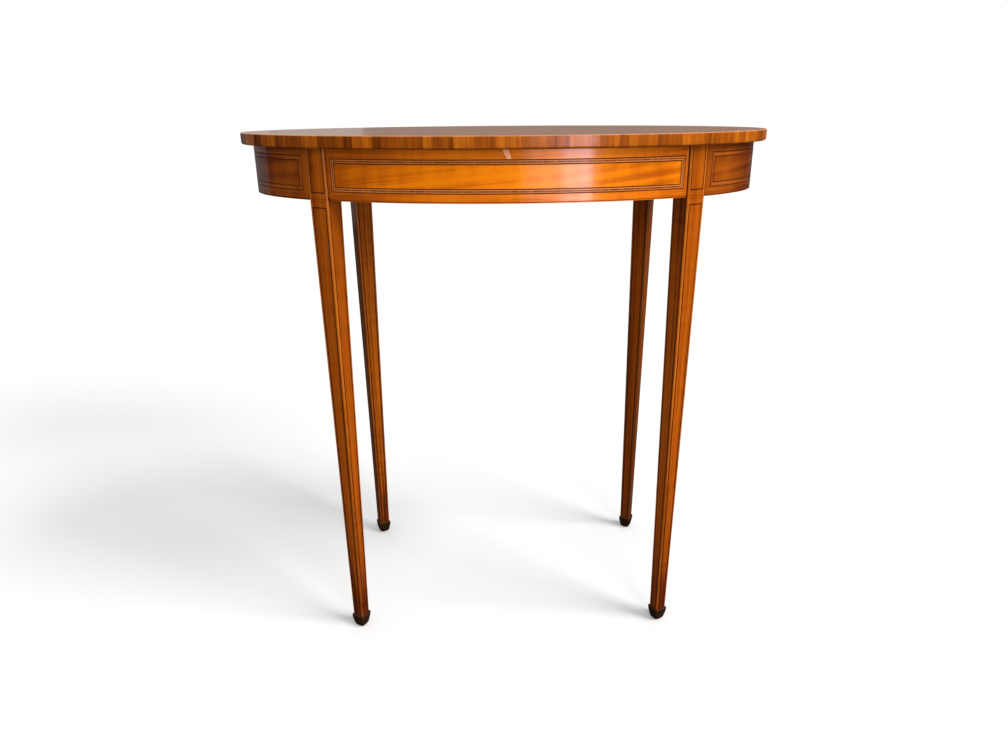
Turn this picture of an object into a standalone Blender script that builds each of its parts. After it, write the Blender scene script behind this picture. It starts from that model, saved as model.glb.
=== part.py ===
"""Oval stand table in satinwood veneer.

An oval top sits on a curved apron. A drawer fills the front of the apron, and four square tapered legs
on dark block feet carry it. Metres, +Z up: the origin is on the floor under the middle of the top, +X
runs along the top's length, and the drawer opens towards -Y.
"""

import math

import bmesh
import bpy
from mathutils import Matrix, Vector

# Overall form
HEIGHT = 0.720
TOP_LENGTH = 0.722
TOP_DEPTH = 0.434
TOP_THICKNESS = 0.0145
TOP_OVERHANG = 0.0153
APRON_HEIGHT = 0.0628

# Glue line or seating gap between two pieces that touch
GAP = 0.0003

# Points closer than this are one point
WELD = 0.000005

# Legs: square, turned to face along the oval, tapered alike on all four sides
LEG_STATION = math.radians(47.1)
LEG_HEAD = 0.0276
LEG_ANKLE = 0.0166
LEG_ARRIS = 0.0008

# Feet: dark blocks that flare past the ankle and narrow to the floor
FOOT_HEIGHT = 0.0185
FOOT_SHOULDER = 0.0184
FOOT_BROW = 0.0203
FOOT_BROW_DROP = 0.0014
FOOT_BELLY = 0.0155
FOOT_BELLY_RISE = 0.0052
FOOT_ROUND = 0.0126
FOOT_ROUND_RISE = 0.0017
FOOT_TOE = 0.0090
SPIGOT_RADIUS = 0.0035
SPIGOT_LENGTH = 0.0120

# Veneers, bandings and inlaid lines
VENEER = 0.0009
EDGE_BAND = 0.0025
EDGE_ROUND = 0.0020
EDGE_ARRIS = 0.0006
CROSSBAND_WIDTH = 0.0360
STRING_WIDTH = 0.0025
FRAME_WIDTH = 0.0060
FRAME_TOP_MARGIN = 0.0112
FRAME_BOTTOM_MARGIN = 0.0107
FRAME_END_MARGIN = 0.0085
DRAWER_FRAME_END_MARGIN = 0.0045

# Rails and their tenons
RAIL_THICKNESS = 0.0150
TENON_LENGTH = 0.0090
TENON_THICKNESS = 0.0070
TENON_SHOULDER = 0.0080
STUB_SHOULDER = 0.0022
TENON_ROOT = 0.0040
DRAWER_RAIL_HEIGHT = 0.0100
TOP_RAIL_HEIGHT = 0.0100
RAIL_BEHIND_LEG = 0.0120

# Drawer and what it runs on: its front hangs below the rail as a lip for the fingers
FINGER_LIP = 0.0080
DRAWER_SETBACK = 0.0015
DRAWER_END_GAP = 0.0018
DRAWER_TOP_GAP = 0.0012
DRAWER_STOP_GAP = 0.0004
DRAWER_SIDE_CLEAR = 0.0008
DRAWER_HEADROOM = 0.0015
DRAWER_BACK_CLEAR = 0.0080
DRAWER_FRONT_THICKNESS = 0.0115
DRAWER_SIDE_THICKNESS = 0.0080
DRAWER_BACK_THICKNESS = 0.0080
DRAWER_BACK_INSET = 0.0060
DRAWER_BACK_DROP = 0.0040
DRAWER_BOTTOM_THICKNESS = 0.0050
DRAWER_BOTTOM_LIFT = 0.0040
GROOVE_DEPTH = 0.0040
FRONT_HOUSING = 0.0050
BACK_HOUSING = 0.0030
GROOVE_OVERRUN = 0.0100
GUIDE_THICKNESS = 0.0080
GUIDE_HEIGHT = 0.0160
RUNNER_BEARING = 0.0200
KICKER_BEARING = 0.0120

# Blocks and screws that hold the top down
BLOCK_STATION = math.radians(24.0)
BLOCK_SPREAD = math.radians(5.0)
BLOCK_DEPTH = 0.0180
BLOCK_HEIGHT = 0.0160
SCREW_SHANK = 0.0020
SCREW_HEAD = 0.0037
SCREW_HEAD_HEIGHT = 0.0020
SCREW_RECESS = 0.0005
SCREW_BITE = 0.0065
SCREW_POINT = 0.0030
RAIL_SCREW_REACH = 0.0900
RAIL_SCREW_INSET = 0.0180

# Facets of the curves
TOP_FACETS = 96
ROUND_FACETS = 12
BLOCK_FACETS = 3
RUN_FACETS = {"front": 16, "back": 16, "left": 18, "right": 18}
EDGE_ROUND_FACETS = 2
EDGE_ARRIS_FACETS = 1
SMOOTH_ANGLE = math.radians(30.0)
SOLVE_STEPS = 60

# Levels that follow from the sizes above
TOP_UNDERSIDE = HEIGHT - TOP_THICKNESS
APRON_BOTTOM = TOP_UNDERSIDE - APRON_HEIGHT
APRON_TOP = TOP_UNDERSIDE - GAP
RUNNER_BOTTOM = APRON_BOTTOM + FINGER_LIP
RUNNER_TOP = RUNNER_BOTTOM + DRAWER_RAIL_HEIGHT
KICKER_BOTTOM = APRON_TOP - TOP_RAIL_HEIGHT
DRAWER_FLOOR = RUNNER_TOP + GAP
DRAWER_CEILING = KICKER_BOTTOM - DRAWER_HEADROOM
DRAWER_FACE_TOP = TOP_UNDERSIDE - DRAWER_TOP_GAP

# Distances inwards from the apron's face
CORE_INSET = VENEER + GAP
RAIL_BACK_INSET = CORE_INSET + RAIL_THICKNESS
DRAWER_CORE_INSET = DRAWER_SETBACK + CORE_INSET
DRAWER_FRONT_BACK_INSET = DRAWER_CORE_INSET + DRAWER_FRONT_THICKNESS
FRONT_RAIL_INSET = DRAWER_FRONT_BACK_INSET + DRAWER_STOP_GAP

# Which corner each leg stands in, as signs of X and Y
CORNERS = {
    "front_left": (-1, -1),
    "front_right": (1, -1),
    "back_left": (-1, 1),
    "back_right": (1, 1),
}
HANDS = {"left": -1, "right": 1}

# Finishes: colour, roughness, metallic
FINISHES = {
    "satinwood": ((0.50, 0.17, 0.012), 0.22, 0.0),
    "satinwood_border": ((0.33, 0.10, 0.010), 0.24, 0.0),
    "inlay": ((0.12, 0.025, 0.006), 0.26, 0.0),
    "ebonised": ((0.030, 0.014, 0.007), 0.40, 0.0),
    "carcass": ((0.36, 0.17, 0.060), 0.60, 0.0),
    "lining": ((0.42, 0.24, 0.110), 0.65, 0.0),
    "steel": ((0.40, 0.38, 0.36), 0.40, 1.0),
}


# Oval geometry

def oval(half_length, half_depth, angle, inset):
    """A point on an oval at its own angle, moved inwards along the normal."""
    on_oval = Vector((half_length * math.cos(angle), half_depth * math.sin(angle)))
    normal = Vector((math.cos(angle) / half_length, math.sin(angle) / half_depth)).normalized()
    return on_oval - inset * normal


def top_point(angle, inset):
    return oval(TOP_LENGTH / 2, TOP_DEPTH / 2, angle, inset)


def apron_point(angle, inset):
    return oval(TOP_LENGTH / 2 - TOP_OVERHANG, TOP_DEPTH / 2 - TOP_OVERHANG, angle, inset)


def solve(rule, low, high):
    """The value between low and high where a rising rule crosses zero."""
    for _ in range(SOLVE_STEPS):
        middle = (low + high) / 2
        if rule(middle) < 0:
            low = middle
        else:
            high = middle
    return (low + high) / 2


# The leg of the back right corner: the others mirror it
LEG_NORMAL = apron_point(LEG_STATION, 0.0) - apron_point(LEG_STATION, 1.0)
LEG_TANGENT = Vector((-LEG_NORMAL.y, LEG_NORMAL.x))
LEG_AXIS = apron_point(LEG_STATION, LEG_HEAD / 2)
LEG_INNER_CORNER = LEG_AXIS + (LEG_TANGENT - LEG_NORMAL) * (LEG_HEAD / 2)
FRONT_RAIL_BACK_Y = -(LEG_INNER_CORNER.y - RAIL_BEHIND_LEG)

# Widths inside the apron, out from the middle
GUIDE_OUTER = LEG_INNER_CORNER.x - GAP
GUIDE_INNER = GUIDE_OUTER - GUIDE_THICKNESS
DRAWER_HALF_WIDTH = GUIDE_INNER - DRAWER_SIDE_CLEAR


def angle_at_reach(inset, reach):
    """The oval angle whose point lies this far along the oval from the leg's axis."""
    def beyond(angle):
        return (apron_point(angle, inset) - LEG_AXIS).dot(LEG_TANGENT) - reach

    return solve(beyond, 0.0, math.pi / 2)


def apron_y_at(x, inset):
    """How far back the oval at an inset lies from the middle line, at a given x."""
    def left_of(angle):
        return x - apron_point(angle, inset).x

    return apron_point(solve(left_of, 0.0, math.pi), inset).y


def run_angles(side, inset, end_gap):
    """Start and stop angles of one side of the apron, kept an end gap from its two legs."""
    short = angle_at_reach(inset, -(LEG_HEAD / 2 + end_gap))
    long = angle_at_reach(inset, LEG_HEAD / 2 + end_gap)
    if side == "right":
        return -short, short
    if side == "left":
        return math.pi - short, math.pi + short
    if side == "back":
        return long, math.pi - long
    return math.pi + long, 2 * math.pi - long


def spread(start, stop, count):
    return [start + (stop - start) * step / count for step in range(count + 1)]


def run_points(side, inset, end_gap):
    """Points along one side of the apron, at an inset from its face."""
    angles = spread(*run_angles(side, inset, end_gap), RUN_FACETS[side])
    return [apron_point(angle, inset) for angle in angles]


def top_loop(inset):
    """A closed loop of points round the top, at an inset from its edge."""
    return [top_point(angle, inset) for angle in spread(0.0, 2 * math.pi, TOP_FACETS)[:-1]]


# Scene, collections and materials

def clear_scene():
    for thing in list(bpy.data.objects):
        bpy.data.objects.remove(thing, do_unlink=True)


def new_collection(name):
    collection = bpy.data.collections.new(name)
    bpy.context.scene.collection.children.link(collection)
    return collection


clear_scene()
PARTS = new_collection("oval_stand_table")
CUTTERS = new_collection("cutters")


def dress(part, finish):
    """Give a part its own material."""
    color, roughness, metallic = FINISHES[finish]
    material = bpy.data.materials.new(part.name)
    material.use_nodes = True
    shader = material.node_tree.nodes["Principled BSDF"]
    shader.inputs["Base Color"].default_value = (*color, 1.0)
    shader.inputs["Roughness"].default_value = roughness
    shader.inputs["Metallic"].default_value = metallic
    part.data.materials.append(material)


def add_part(name, mesh, finish, parent=None):
    """Put a mesh in the scene as one named piece of the table."""
    mesh.shade_smooth()
    mesh.set_sharp_from_angle(angle=SMOOTH_ANGLE)
    part = bpy.data.objects.new(name, mesh)
    PARTS.objects.link(part)
    part.parent = parent
    dress(part, finish)
    return part


def add_cutter(name, mesh, parent=None):
    """Put a mesh in the scene as a hidden tool for a Boolean."""
    cutter = bpy.data.objects.new(name, mesh)
    CUTTERS.objects.link(cutter)
    cutter.parent = parent
    cutter.hide_render = True
    cutter.display_type = "WIRE"
    return cutter


def add_empty(name, place, turn=0.0):
    empty = bpy.data.objects.new(name, None)
    PARTS.objects.link(empty)
    empty.location = place
    empty.rotation_euler.z = turn
    return empty


def boolean(part, tool, operation):
    modifier = part.modifiers.new(tool.name, "BOOLEAN")
    modifier.operation = operation
    modifier.solver = "EXACT"
    modifier.object = tool


# Meshes

def mesh_of(shape, name):
    mesh = bpy.data.meshes.new(name)
    shape.to_mesh(mesh)
    shape.free()
    return mesh


def box_mesh(name, low, high):
    """A box between two corners."""
    low, high = Vector(low), Vector(high)
    size = [abs(length) for length in high - low]
    place = Matrix.Translation((low + high) / 2) @ Matrix.Diagonal((*size, 1.0))
    shape = bmesh.new()
    bmesh.ops.create_cube(shape, size=1.0, matrix=place)
    return mesh_of(shape, name)


def outline_mesh(name, loops, low, high):
    """A flat outline, with holes where a loop lies inside another, given a thickness from low to high."""
    curve = bpy.data.curves.new(name, "CURVE")
    curve.dimensions = "2D"
    curve.fill_mode = "BOTH"
    curve.extrude = (high - low) / 2
    for loop in loops:
        spline = curve.splines.new("POLY")
        spline.points.add(len(loop) - 1)
        for point, place in zip(spline.points, loop):
            point.co = (place.x, place.y, 0.0, 1.0)
        spline.use_cyclic_u = True
    holder = bpy.data.objects.new(name, curve)
    CUTTERS.objects.link(holder)
    depsgraph = bpy.context.evaluated_depsgraph_get()
    flat = bpy.data.meshes.new_from_object(holder.evaluated_get(depsgraph))
    shape = bmesh.new()
    shape.from_mesh(flat)
    bmesh.ops.remove_doubles(shape, verts=shape.verts, dist=WELD)
    bmesh.ops.translate(shape, verts=shape.verts, vec=(0.0, 0.0, (low + high) / 2))
    bmesh.ops.recalc_face_normals(shape, faces=shape.faces)
    bpy.data.objects.remove(holder)
    bpy.data.curves.remove(curve)
    bpy.data.meshes.remove(flat)
    return mesh_of(shape, name)


def post_mesh(name, stations):
    """A square post through stations of height and width, listed upwards."""
    shape = bmesh.new()
    height, width = stations[0]
    place = Matrix.Translation((0.0, 0.0, height)) @ Matrix.Rotation(math.pi / 4, 4, "Z")
    bmesh.ops.create_circle(shape, cap_ends=True, segments=4, radius=width * math.sqrt(0.5), matrix=place)
    shape.faces.ensure_lookup_table()
    foot_face = cap = shape.faces[0]
    for next_height, next_width in stations[1:]:
        grown = bmesh.ops.extrude_face_region(shape, geom=[cap])["geom"]
        if cap != foot_face:
            bmesh.ops.delete(shape, geom=[cap], context="FACES_ONLY")
        cap = next(item for item in grown if isinstance(item, bmesh.types.BMFace))
        ratio = next_width / width
        bmesh.ops.scale(shape, verts=cap.verts, vec=(ratio, ratio, 1.0))
        bmesh.ops.translate(shape, verts=cap.verts, vec=(0.0, 0.0, next_height - height))
        height, width = next_height, next_width
    bmesh.ops.recalc_face_normals(shape, faces=shape.faces)
    return mesh_of(shape, name)


def cylinder_mesh(name, radius, low, high):
    shape = bmesh.new()
    bmesh.ops.create_cone(
        shape,
        cap_ends=True,
        segments=ROUND_FACETS,
        radius1=radius,
        radius2=radius,
        depth=high - low,
        matrix=Matrix.Translation((0.0, 0.0, (low + high) / 2)),
    )
    return mesh_of(shape, name)


def profile_mesh(name, profile):
    """A chain of radius and height points, for turning about Z."""
    mesh = bpy.data.meshes.new(name)
    points = [(radius, 0.0, height) for radius, height in profile]
    mesh.from_pydata(points, [(step, step + 1) for step in range(len(points) - 1)], [])
    return mesh


def turn(part):
    """Turn a profile about its own Z axis."""
    modifier = part.modifiers.new("turned", "SCREW")
    modifier.steps = ROUND_FACETS
    modifier.render_steps = ROUND_FACETS
    modifier.use_merge_vertices = True
    modifier.merge_threshold = WELD


def sheet_mesh(name, side, inset, outer, hole):
    """A curved sheet on one side of the apron.

    outer and hole are each an end gap, a low level and a high level. Without a hole the sheet is whole.
    """
    start, stop = run_angles(side, inset, outer[0])
    if hole:
        angles = [start, *spread(*run_angles(side, inset, hole[0]), RUN_FACETS[side]), stop]
        heights = [outer[1], hole[1], hole[2], outer[2]]
    else:
        angles = spread(start, stop, RUN_FACETS[side])
        heights = [outer[1], outer[2]]
    columns = len(angles) - 1
    rows = len(heights) - 1
    shape = bmesh.new()
    bmesh.ops.create_grid(shape, x_segments=columns, y_segments=rows, size=0.5)
    inside = []
    for face in shape.faces:
        middle = face.calc_center_median()
        column = math.floor((middle.x + 0.5) * columns)
        row = math.floor((middle.y + 0.5) * rows)
        if hole and row == 1 and 0 < column < columns - 1:
            inside.append(face)
    for vert in shape.verts:
        column = round((vert.co.x + 0.5) * columns)
        row = round((vert.co.y + 0.5) * rows)
        vert.co = apron_point(angles[column], inset).to_3d()
        vert.co.z = heights[row]
    bmesh.ops.delete(shape, geom=inside, context="FACES")
    return mesh_of(shape, name)


# Top

def build_top():
    """Board, edge banding and the three veneers laid on the board."""
    veneer_low = HEIGHT - VENEER
    board_inset = EDGE_BAND + GAP
    board_mesh = outline_mesh("top_board", [top_loop(board_inset)], TOP_UNDERSIDE, veneer_low - GAP)
    board = add_part("top_board", board_mesh, "carcass")

    banding = outline_mesh("top_edge_banding", [top_loop(0.0), top_loop(EDGE_BAND)], TOP_UNDERSIDE, HEIGHT)
    add_part("top_edge_banding", round_banding(banding), "satinwood_border")

    string_outer = board_inset + CROSSBAND_WIDTH + GAP
    field_outer = string_outer + STRING_WIDTH + GAP
    rings = (
        ("top_crossbanding", "satinwood_border", [top_loop(board_inset), top_loop(string_outer - GAP)]),
        ("top_stringing", "inlay", [top_loop(string_outer), top_loop(field_outer - GAP)]),
        ("top_field_veneer", "satinwood", [top_loop(field_outer)]),
    )
    for name, finish, loops in rings:
        add_part(name, outline_mesh(name, loops, veneer_low, HEIGHT), finish)
    return board


def round_banding(mesh):
    """Round the lower outer arris of the edge banding and ease its upper one."""
    shape = bmesh.new()
    shape.from_mesh(mesh)
    for level, width, facets in (
        (TOP_UNDERSIDE, EDGE_ROUND, EDGE_ROUND_FACETS),
        (HEIGHT, EDGE_ARRIS, EDGE_ARRIS_FACETS),
    ):
        edges = [edge for edge in shape.edges if is_outer_arris(edge, level)]
        bmesh.ops.bevel(shape, geom=edges, offset=width, segments=facets, profile=0.5, affect="EDGES")
    shape.to_mesh(mesh)
    shape.free()
    return mesh


def is_outer_arris(edge, level):
    """Whether an edge runs along the top's outline at a level, between its side and a flat face."""
    for vert in edge.verts:
        reach = math.hypot(2 * vert.co.x / TOP_LENGTH, 2 * vert.co.y / TOP_DEPTH)
        if abs(vert.co.z - level) > WELD or reach < 1.0 - GAP / TOP_LENGTH:
            return False
    return any(abs(face.normal.z) < math.sqrt(0.5) for face in edge.link_faces)


# Legs and feet

def leg_side(corner, side):
    """Which of a leg's own sides, -1 or 1 along its X, a run of the apron meets."""
    sign_x, sign_y = CORNERS[corner]
    towards_middle = sign_x * sign_y
    return towards_middle if side in ("front", "back") else -towards_middle


def build_legs():
    """Four legs and feet, each pair on an empty that stands on the leg's axis and faces outwards."""
    legs = {}
    for corner, (sign_x, sign_y) in CORNERS.items():
        turn_angle = math.atan2(sign_x * LEG_NORMAL.x, -sign_y * LEG_NORMAL.y)
        seat = add_empty(f"seat_{corner}", (sign_x * LEG_AXIS.x, sign_y * LEG_AXIS.y, 0.0), turn_angle)
        stations = [(FOOT_HEIGHT + GAP, LEG_ANKLE), (APRON_BOTTOM, LEG_HEAD), (APRON_TOP, LEG_HEAD)]
        leg = add_part(f"leg_{corner}", post_mesh(f"leg_{corner}", stations), "satinwood", seat)
        arris = leg.modifiers.new("arris", "BEVEL")
        arris.width = LEG_ARRIS
        arris.segments = 1
        arris.limit_method = "ANGLE"
        build_foot(corner, seat, leg)
        legs[corner] = leg
    return legs


def build_foot(corner, seat, leg):
    """A foot with a round spigot that stands in a hole in the leg's end."""
    stations = [
        (0.0, FOOT_TOE),
        (FOOT_ROUND_RISE, FOOT_ROUND),
        (FOOT_BELLY_RISE, FOOT_BELLY),
        (FOOT_HEIGHT - FOOT_BROW_DROP, FOOT_BROW),
        (FOOT_HEIGHT, FOOT_SHOULDER),
    ]
    foot = add_part(f"foot_{corner}", post_mesh(f"foot_{corner}", stations), "ebonised", seat)
    spigot_top = FOOT_HEIGHT + SPIGOT_LENGTH
    spigot_mesh = cylinder_mesh("spigot", SPIGOT_RADIUS, FOOT_BELLY_RISE, spigot_top)
    boolean(foot, add_cutter(f"spigot_{corner}", spigot_mesh, seat), "UNION")
    hole_mesh = cylinder_mesh("hole", SPIGOT_RADIUS + GAP, FOOT_BELLY_RISE, spigot_top + GAP)
    boolean(leg, add_cutter(f"spigot_hole_{corner}", hole_mesh, seat), "DIFFERENCE")


def join_to_leg(rail, corner, side, leg, depths, levels):
    """Give a rail a tenon and its leg the mortise for it.

    depths is the tenon's nearest and farthest distance from the leg's outer face, levels its low and high.
    """
    hand = leg_side(corner, side)
    face = LEG_HEAD / 2
    tip = face - TENON_LENGTH
    near, far = (depth - face for depth in depths)
    low, high = levels
    name = f"{rail.name}_{corner}"
    tenon = box_mesh(name, (hand * tip, near, low), (hand * (face + GAP + TENON_ROOT), far, high))
    boolean(rail, add_cutter(f"tenon_{name}", tenon, leg.parent), "UNION")
    mortise = box_mesh(
        name,
        (hand * (tip - GAP), near - GAP, low - GAP),
        (hand * (face + TENON_ROOT), far + GAP, high + GAP),
    )
    boolean(leg, add_cutter(f"mortise_{name}", mortise, leg.parent), "DIFFERENCE")


# Apron

def corners_of(side):
    """The two corners that a run of the apron joins."""
    return [corner for corner in CORNERS if side in corner.split("_")]


def build_cladding(names, side, inset, end_gap, levels, end_margin, parent=None):
    """The border veneer, the inlaid frame and the panel veneer on one side of the apron."""
    low, high = levels
    frame_end = end_gap + end_margin
    frame_low = low + FRAME_BOTTOM_MARGIN
    frame_high = high - FRAME_TOP_MARGIN
    panel_end = frame_end + FRAME_WIDTH
    panel_low = frame_low + FRAME_WIDTH
    panel_high = frame_high - FRAME_WIDTH
    sheets = (
        ("satinwood_border", (end_gap, low, high), (frame_end - GAP, frame_low - GAP, frame_high + GAP)),
        ("inlay", (frame_end, frame_low, frame_high), (panel_end, panel_low, panel_high)),
        ("satinwood", (panel_end + GAP, panel_low + GAP, panel_high - GAP), None),
    )
    for name, (finish, outer, hole) in zip(names, sheets):
        sheet = add_part(name, sheet_mesh(name, side, inset, outer, hole), finish, parent)
        thickness = sheet.modifiers.new("thickness", "SOLIDIFY")
        thickness.thickness = VENEER
        thickness.offset = -1.0
        thickness.use_even_offset = True


def build_rail(name, side, legs):
    """A curved rail between two legs, tenoned into both."""
    outline = run_points(side, CORE_INSET, GAP) + run_points(side, RAIL_BACK_INSET, GAP)[::-1]
    rail = add_part(name, outline_mesh(name, [outline], APRON_BOTTOM, APRON_TOP), "carcass")
    middle = CORE_INSET + RAIL_THICKNESS / 2
    depths = (middle - TENON_THICKNESS / 2, middle + TENON_THICKNESS / 2)
    levels = (APRON_BOTTOM + TENON_SHOULDER, APRON_TOP - TENON_SHOULDER)
    for corner in corners_of(side):
        join_to_leg(rail, corner, side, legs[corner], depths, levels)


def build_apron(legs):
    """The two end rails and the back rail with their veneers."""
    levels = (APRON_BOTTOM, APRON_TOP)
    for side in ("left", "right"):
        build_rail(f"end_rail_{side}", side, legs)
        names = (f"end_border_{side}", f"end_stringing_{side}", f"end_panel_{side}")
        build_cladding(names, side, 0.0, GAP, levels, FRAME_END_MARGIN)
    build_rail("back_rail", "back", legs)
    names = ("back_border", "back_stringing", "back_panel")
    build_cladding(names, "back", 0.0, GAP, levels, FRAME_END_MARGIN)


def front_rail_outline():
    """Plan of the rails over and under the drawer: curved in front, straight at the back."""
    side_face = LEG_AXIS + LEG_TANGENT * (LEG_HEAD / 2 + GAP)
    along = (side_face.y + FRONT_RAIL_BACK_Y) / LEG_NORMAL.y
    back_x = (side_face - along * LEG_NORMAL).x
    back = [Vector((back_x, FRONT_RAIL_BACK_Y)), Vector((-back_x, FRONT_RAIL_BACK_Y))]
    return run_points("front", FRONT_RAIL_INSET, GAP) + back


def build_front_rails(legs):
    """The rail that the drawer runs over and the one that ties the front legs under the top."""
    rails = {}
    for name, low, high in (
        ("drawer_rail", RUNNER_BOTTOM, RUNNER_TOP),
        ("top_rail", KICKER_BOTTOM, APRON_TOP),
    ):
        rail = add_part(name, outline_mesh(name, [front_rail_outline()], low, high), "carcass")
        depths = (FRONT_RAIL_INSET + STUB_SHOULDER, LEG_HEAD - STUB_SHOULDER)
        levels = (low + STUB_SHOULDER, high - STUB_SHOULDER)
        for corner in corners_of("front"):
            join_to_leg(rail, corner, "front", legs[corner], depths, levels)
        rails[name] = rail
    return rails


# Drawer supports

def strip_outline(hand, inner, outer):
    """Plan of a strip that runs back from the front rails to the back rail."""
    front = FRONT_RAIL_BACK_Y + GAP
    back_inset = RAIL_BACK_INSET + GAP
    return [
        Vector((hand * inner, front)),
        Vector((hand * outer, front)),
        Vector((hand * outer, apron_y_at(outer, back_inset))),
        Vector((hand * inner, apron_y_at(inner, back_inset))),
    ]


def build_drawer_supports():
    """Runner under, guide beside and kicker over each drawer side."""
    for side, hand in HANDS.items():
        strips = (
            ("runner", DRAWER_HALF_WIDTH - RUNNER_BEARING, RUNNER_BOTTOM, RUNNER_TOP),
            ("guide", GUIDE_INNER, RUNNER_TOP + GAP, RUNNER_TOP + GAP + GUIDE_HEIGHT),
            ("kicker", DRAWER_HALF_WIDTH - KICKER_BEARING, KICKER_BOTTOM, APRON_TOP),
        )
        for kind, inner, low, high in strips:
            name = f"{kind}_{side}"
            outline = strip_outline(hand, inner, GUIDE_OUTER)
            add_part(name, outline_mesh(name, [outline], low, high), "lining")


# Drawer

DRAWER_BACK_Y = apron_y_at(DRAWER_HALF_WIDTH, RAIL_BACK_INSET) - DRAWER_BACK_CLEAR
BACK_OUTER_Y = DRAWER_BACK_Y - DRAWER_BACK_INSET
BOTTOM_LOW = DRAWER_FLOOR + DRAWER_BOTTOM_LIFT
BOTTOM_HIGH = BOTTOM_LOW + DRAWER_BOTTOM_THICKNESS


def drawer_side_outline(hand, grow):
    """Plan of a drawer side, whose front end follows the drawer front's curve."""
    inner = DRAWER_HALF_WIDTH - DRAWER_SIDE_THICKNESS - grow
    outer = DRAWER_HALF_WIDTH + grow
    front_inset = DRAWER_FRONT_BACK_INSET - FRONT_HOUSING - grow
    return [
        Vector((hand * inner, -apron_y_at(inner, front_inset))),
        Vector((hand * outer, -apron_y_at(outer, front_inset))),
        Vector((hand * outer, DRAWER_BACK_Y)),
        Vector((hand * inner, DRAWER_BACK_Y)),
    ]


def drawer_bottom_outline(back_y, grow):
    """Plan of the drawer bottom: curved in front and housed in the grooves."""
    half = DRAWER_HALF_WIDTH - DRAWER_SIDE_THICKNESS + GROOVE_DEPTH + grow
    front_inset = DRAWER_FRONT_BACK_INSET - GROOVE_DEPTH - grow
    places = spread(-half, half, RUN_FACETS["front"])
    front = [Vector((x, -apron_y_at(abs(x), front_inset))) for x in places]
    return front + [Vector((half, back_y)), Vector((-half, back_y))]


def build_drawer():
    """The drawer, on an empty that stands on the line it slides along."""
    face_middle = apron_point(-math.pi / 2, DRAWER_SETBACK)
    slide_place = Vector((face_middle.x, face_middle.y, (APRON_BOTTOM + DRAWER_FACE_TOP) / 2))
    slide = add_empty("drawer_slide", slide_place)
    to_slide = Matrix.Translation(-slide_place)

    def add_drawer_part(name, mesh, finish):
        mesh.transform(to_slide)
        return add_part(name, mesh, finish, slide)

    def add_drawer_cutter(name, mesh):
        mesh.transform(to_slide)
        return add_cutter(name, mesh, slide)

    levels = (APRON_BOTTOM, DRAWER_FACE_TOP)
    outer = run_points("front", DRAWER_CORE_INSET, DRAWER_END_GAP)
    inner = run_points("front", DRAWER_FRONT_BACK_INSET, DRAWER_END_GAP)
    front_mesh = outline_mesh("drawer_front", [outer + inner[::-1]], *levels)
    front = add_drawer_part("drawer_front", front_mesh, "carcass")
    names = ("drawer_front_border", "drawer_front_stringing", "drawer_front_panel")
    build_cladding(names, "front", DRAWER_SETBACK, DRAWER_END_GAP, levels, DRAWER_FRAME_END_MARGIN, slide)
    for name in names:
        bpy.data.objects[name].data.transform(to_slide)

    groove_outline = drawer_bottom_outline(DRAWER_BACK_Y + GROOVE_OVERRUN, GAP)
    groove_mesh = outline_mesh("bottom_groove", [groove_outline], BOTTOM_LOW - GAP, BOTTOM_HIGH + GAP)
    groove = add_drawer_cutter("bottom_groove", groove_mesh)
    boolean(front, groove, "DIFFERENCE")
    bottom_outline = drawer_bottom_outline(BACK_OUTER_Y, 0.0)
    bottom_mesh = outline_mesh("drawer_bottom", [bottom_outline], BOTTOM_LOW, BOTTOM_HIGH)
    add_drawer_part("drawer_bottom", bottom_mesh, "lining")

    back_half = DRAWER_HALF_WIDTH - DRAWER_SIDE_THICKNESS + BACK_HOUSING
    back_low = Vector((-back_half, BACK_OUTER_Y - DRAWER_BACK_THICKNESS, BOTTOM_HIGH + GAP))
    back_high = Vector((back_half, BACK_OUTER_Y, DRAWER_CEILING - DRAWER_BACK_DROP))
    add_drawer_part("drawer_back", box_mesh("drawer_back", back_low, back_high), "lining")
    margin = Vector((GAP, GAP, GAP))
    back_slot = add_drawer_cutter("back_slot", box_mesh("back_slot", back_low - margin, back_high + margin))

    for side, hand in HANDS.items():
        name = f"drawer_side_{side}"
        board_mesh = outline_mesh(name, [drawer_side_outline(hand, 0.0)], DRAWER_FLOOR, DRAWER_CEILING)
        board = add_drawer_part(name, board_mesh, "lining")
        boolean(board, groove, "DIFFERENCE")
        boolean(board, back_slot, "DIFFERENCE")
        slot_outline = drawer_side_outline(hand, GAP)
        slot_mesh = outline_mesh(f"slot_{side}", [slot_outline], DRAWER_FLOOR - GAP, DRAWER_CEILING + GAP)
        boolean(front, add_drawer_cutter(f"slot_{side}", slot_mesh), "DIFFERENCE")


# Top fixings

def screw_profile(length, grow):
    """A countersunk screw from its point down its outer side to its head, standing on its head."""
    return [
        (0.0, length + grow),
        (SCREW_SHANK + grow, length - SCREW_POINT + grow),
        (SCREW_SHANK + grow, SCREW_HEAD_HEIGHT + grow),
        (SCREW_HEAD + grow, 0.0),
        (0.0, 0.0),
    ]


def hole_profile(length):
    """The hole for a screw, open below its head."""
    below = -SCREW_RECESS - GAP
    *upper, _ = screw_profile(length, GAP)
    return [*upper, (SCREW_HEAD + GAP, below), (0.0, below)]


def add_screw(name, place, under, held, board):
    """A screw up through a held piece into the top board, with its head sunk into the piece."""
    head_level = under + SCREW_RECESS
    length = TOP_UNDERSIDE + SCREW_BITE - head_level
    hole = add_cutter(f"hole_{name}", profile_mesh(f"hole_{name}", hole_profile(length)))
    screw = add_part(name, profile_mesh(name, screw_profile(length, 0.0)), "steel")
    for item in (hole, screw):
        item.location = (place.x, place.y, head_level)
        turn(item)
    boolean(held, hole, "DIFFERENCE")
    boolean(board, hole, "DIFFERENCE")


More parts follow.
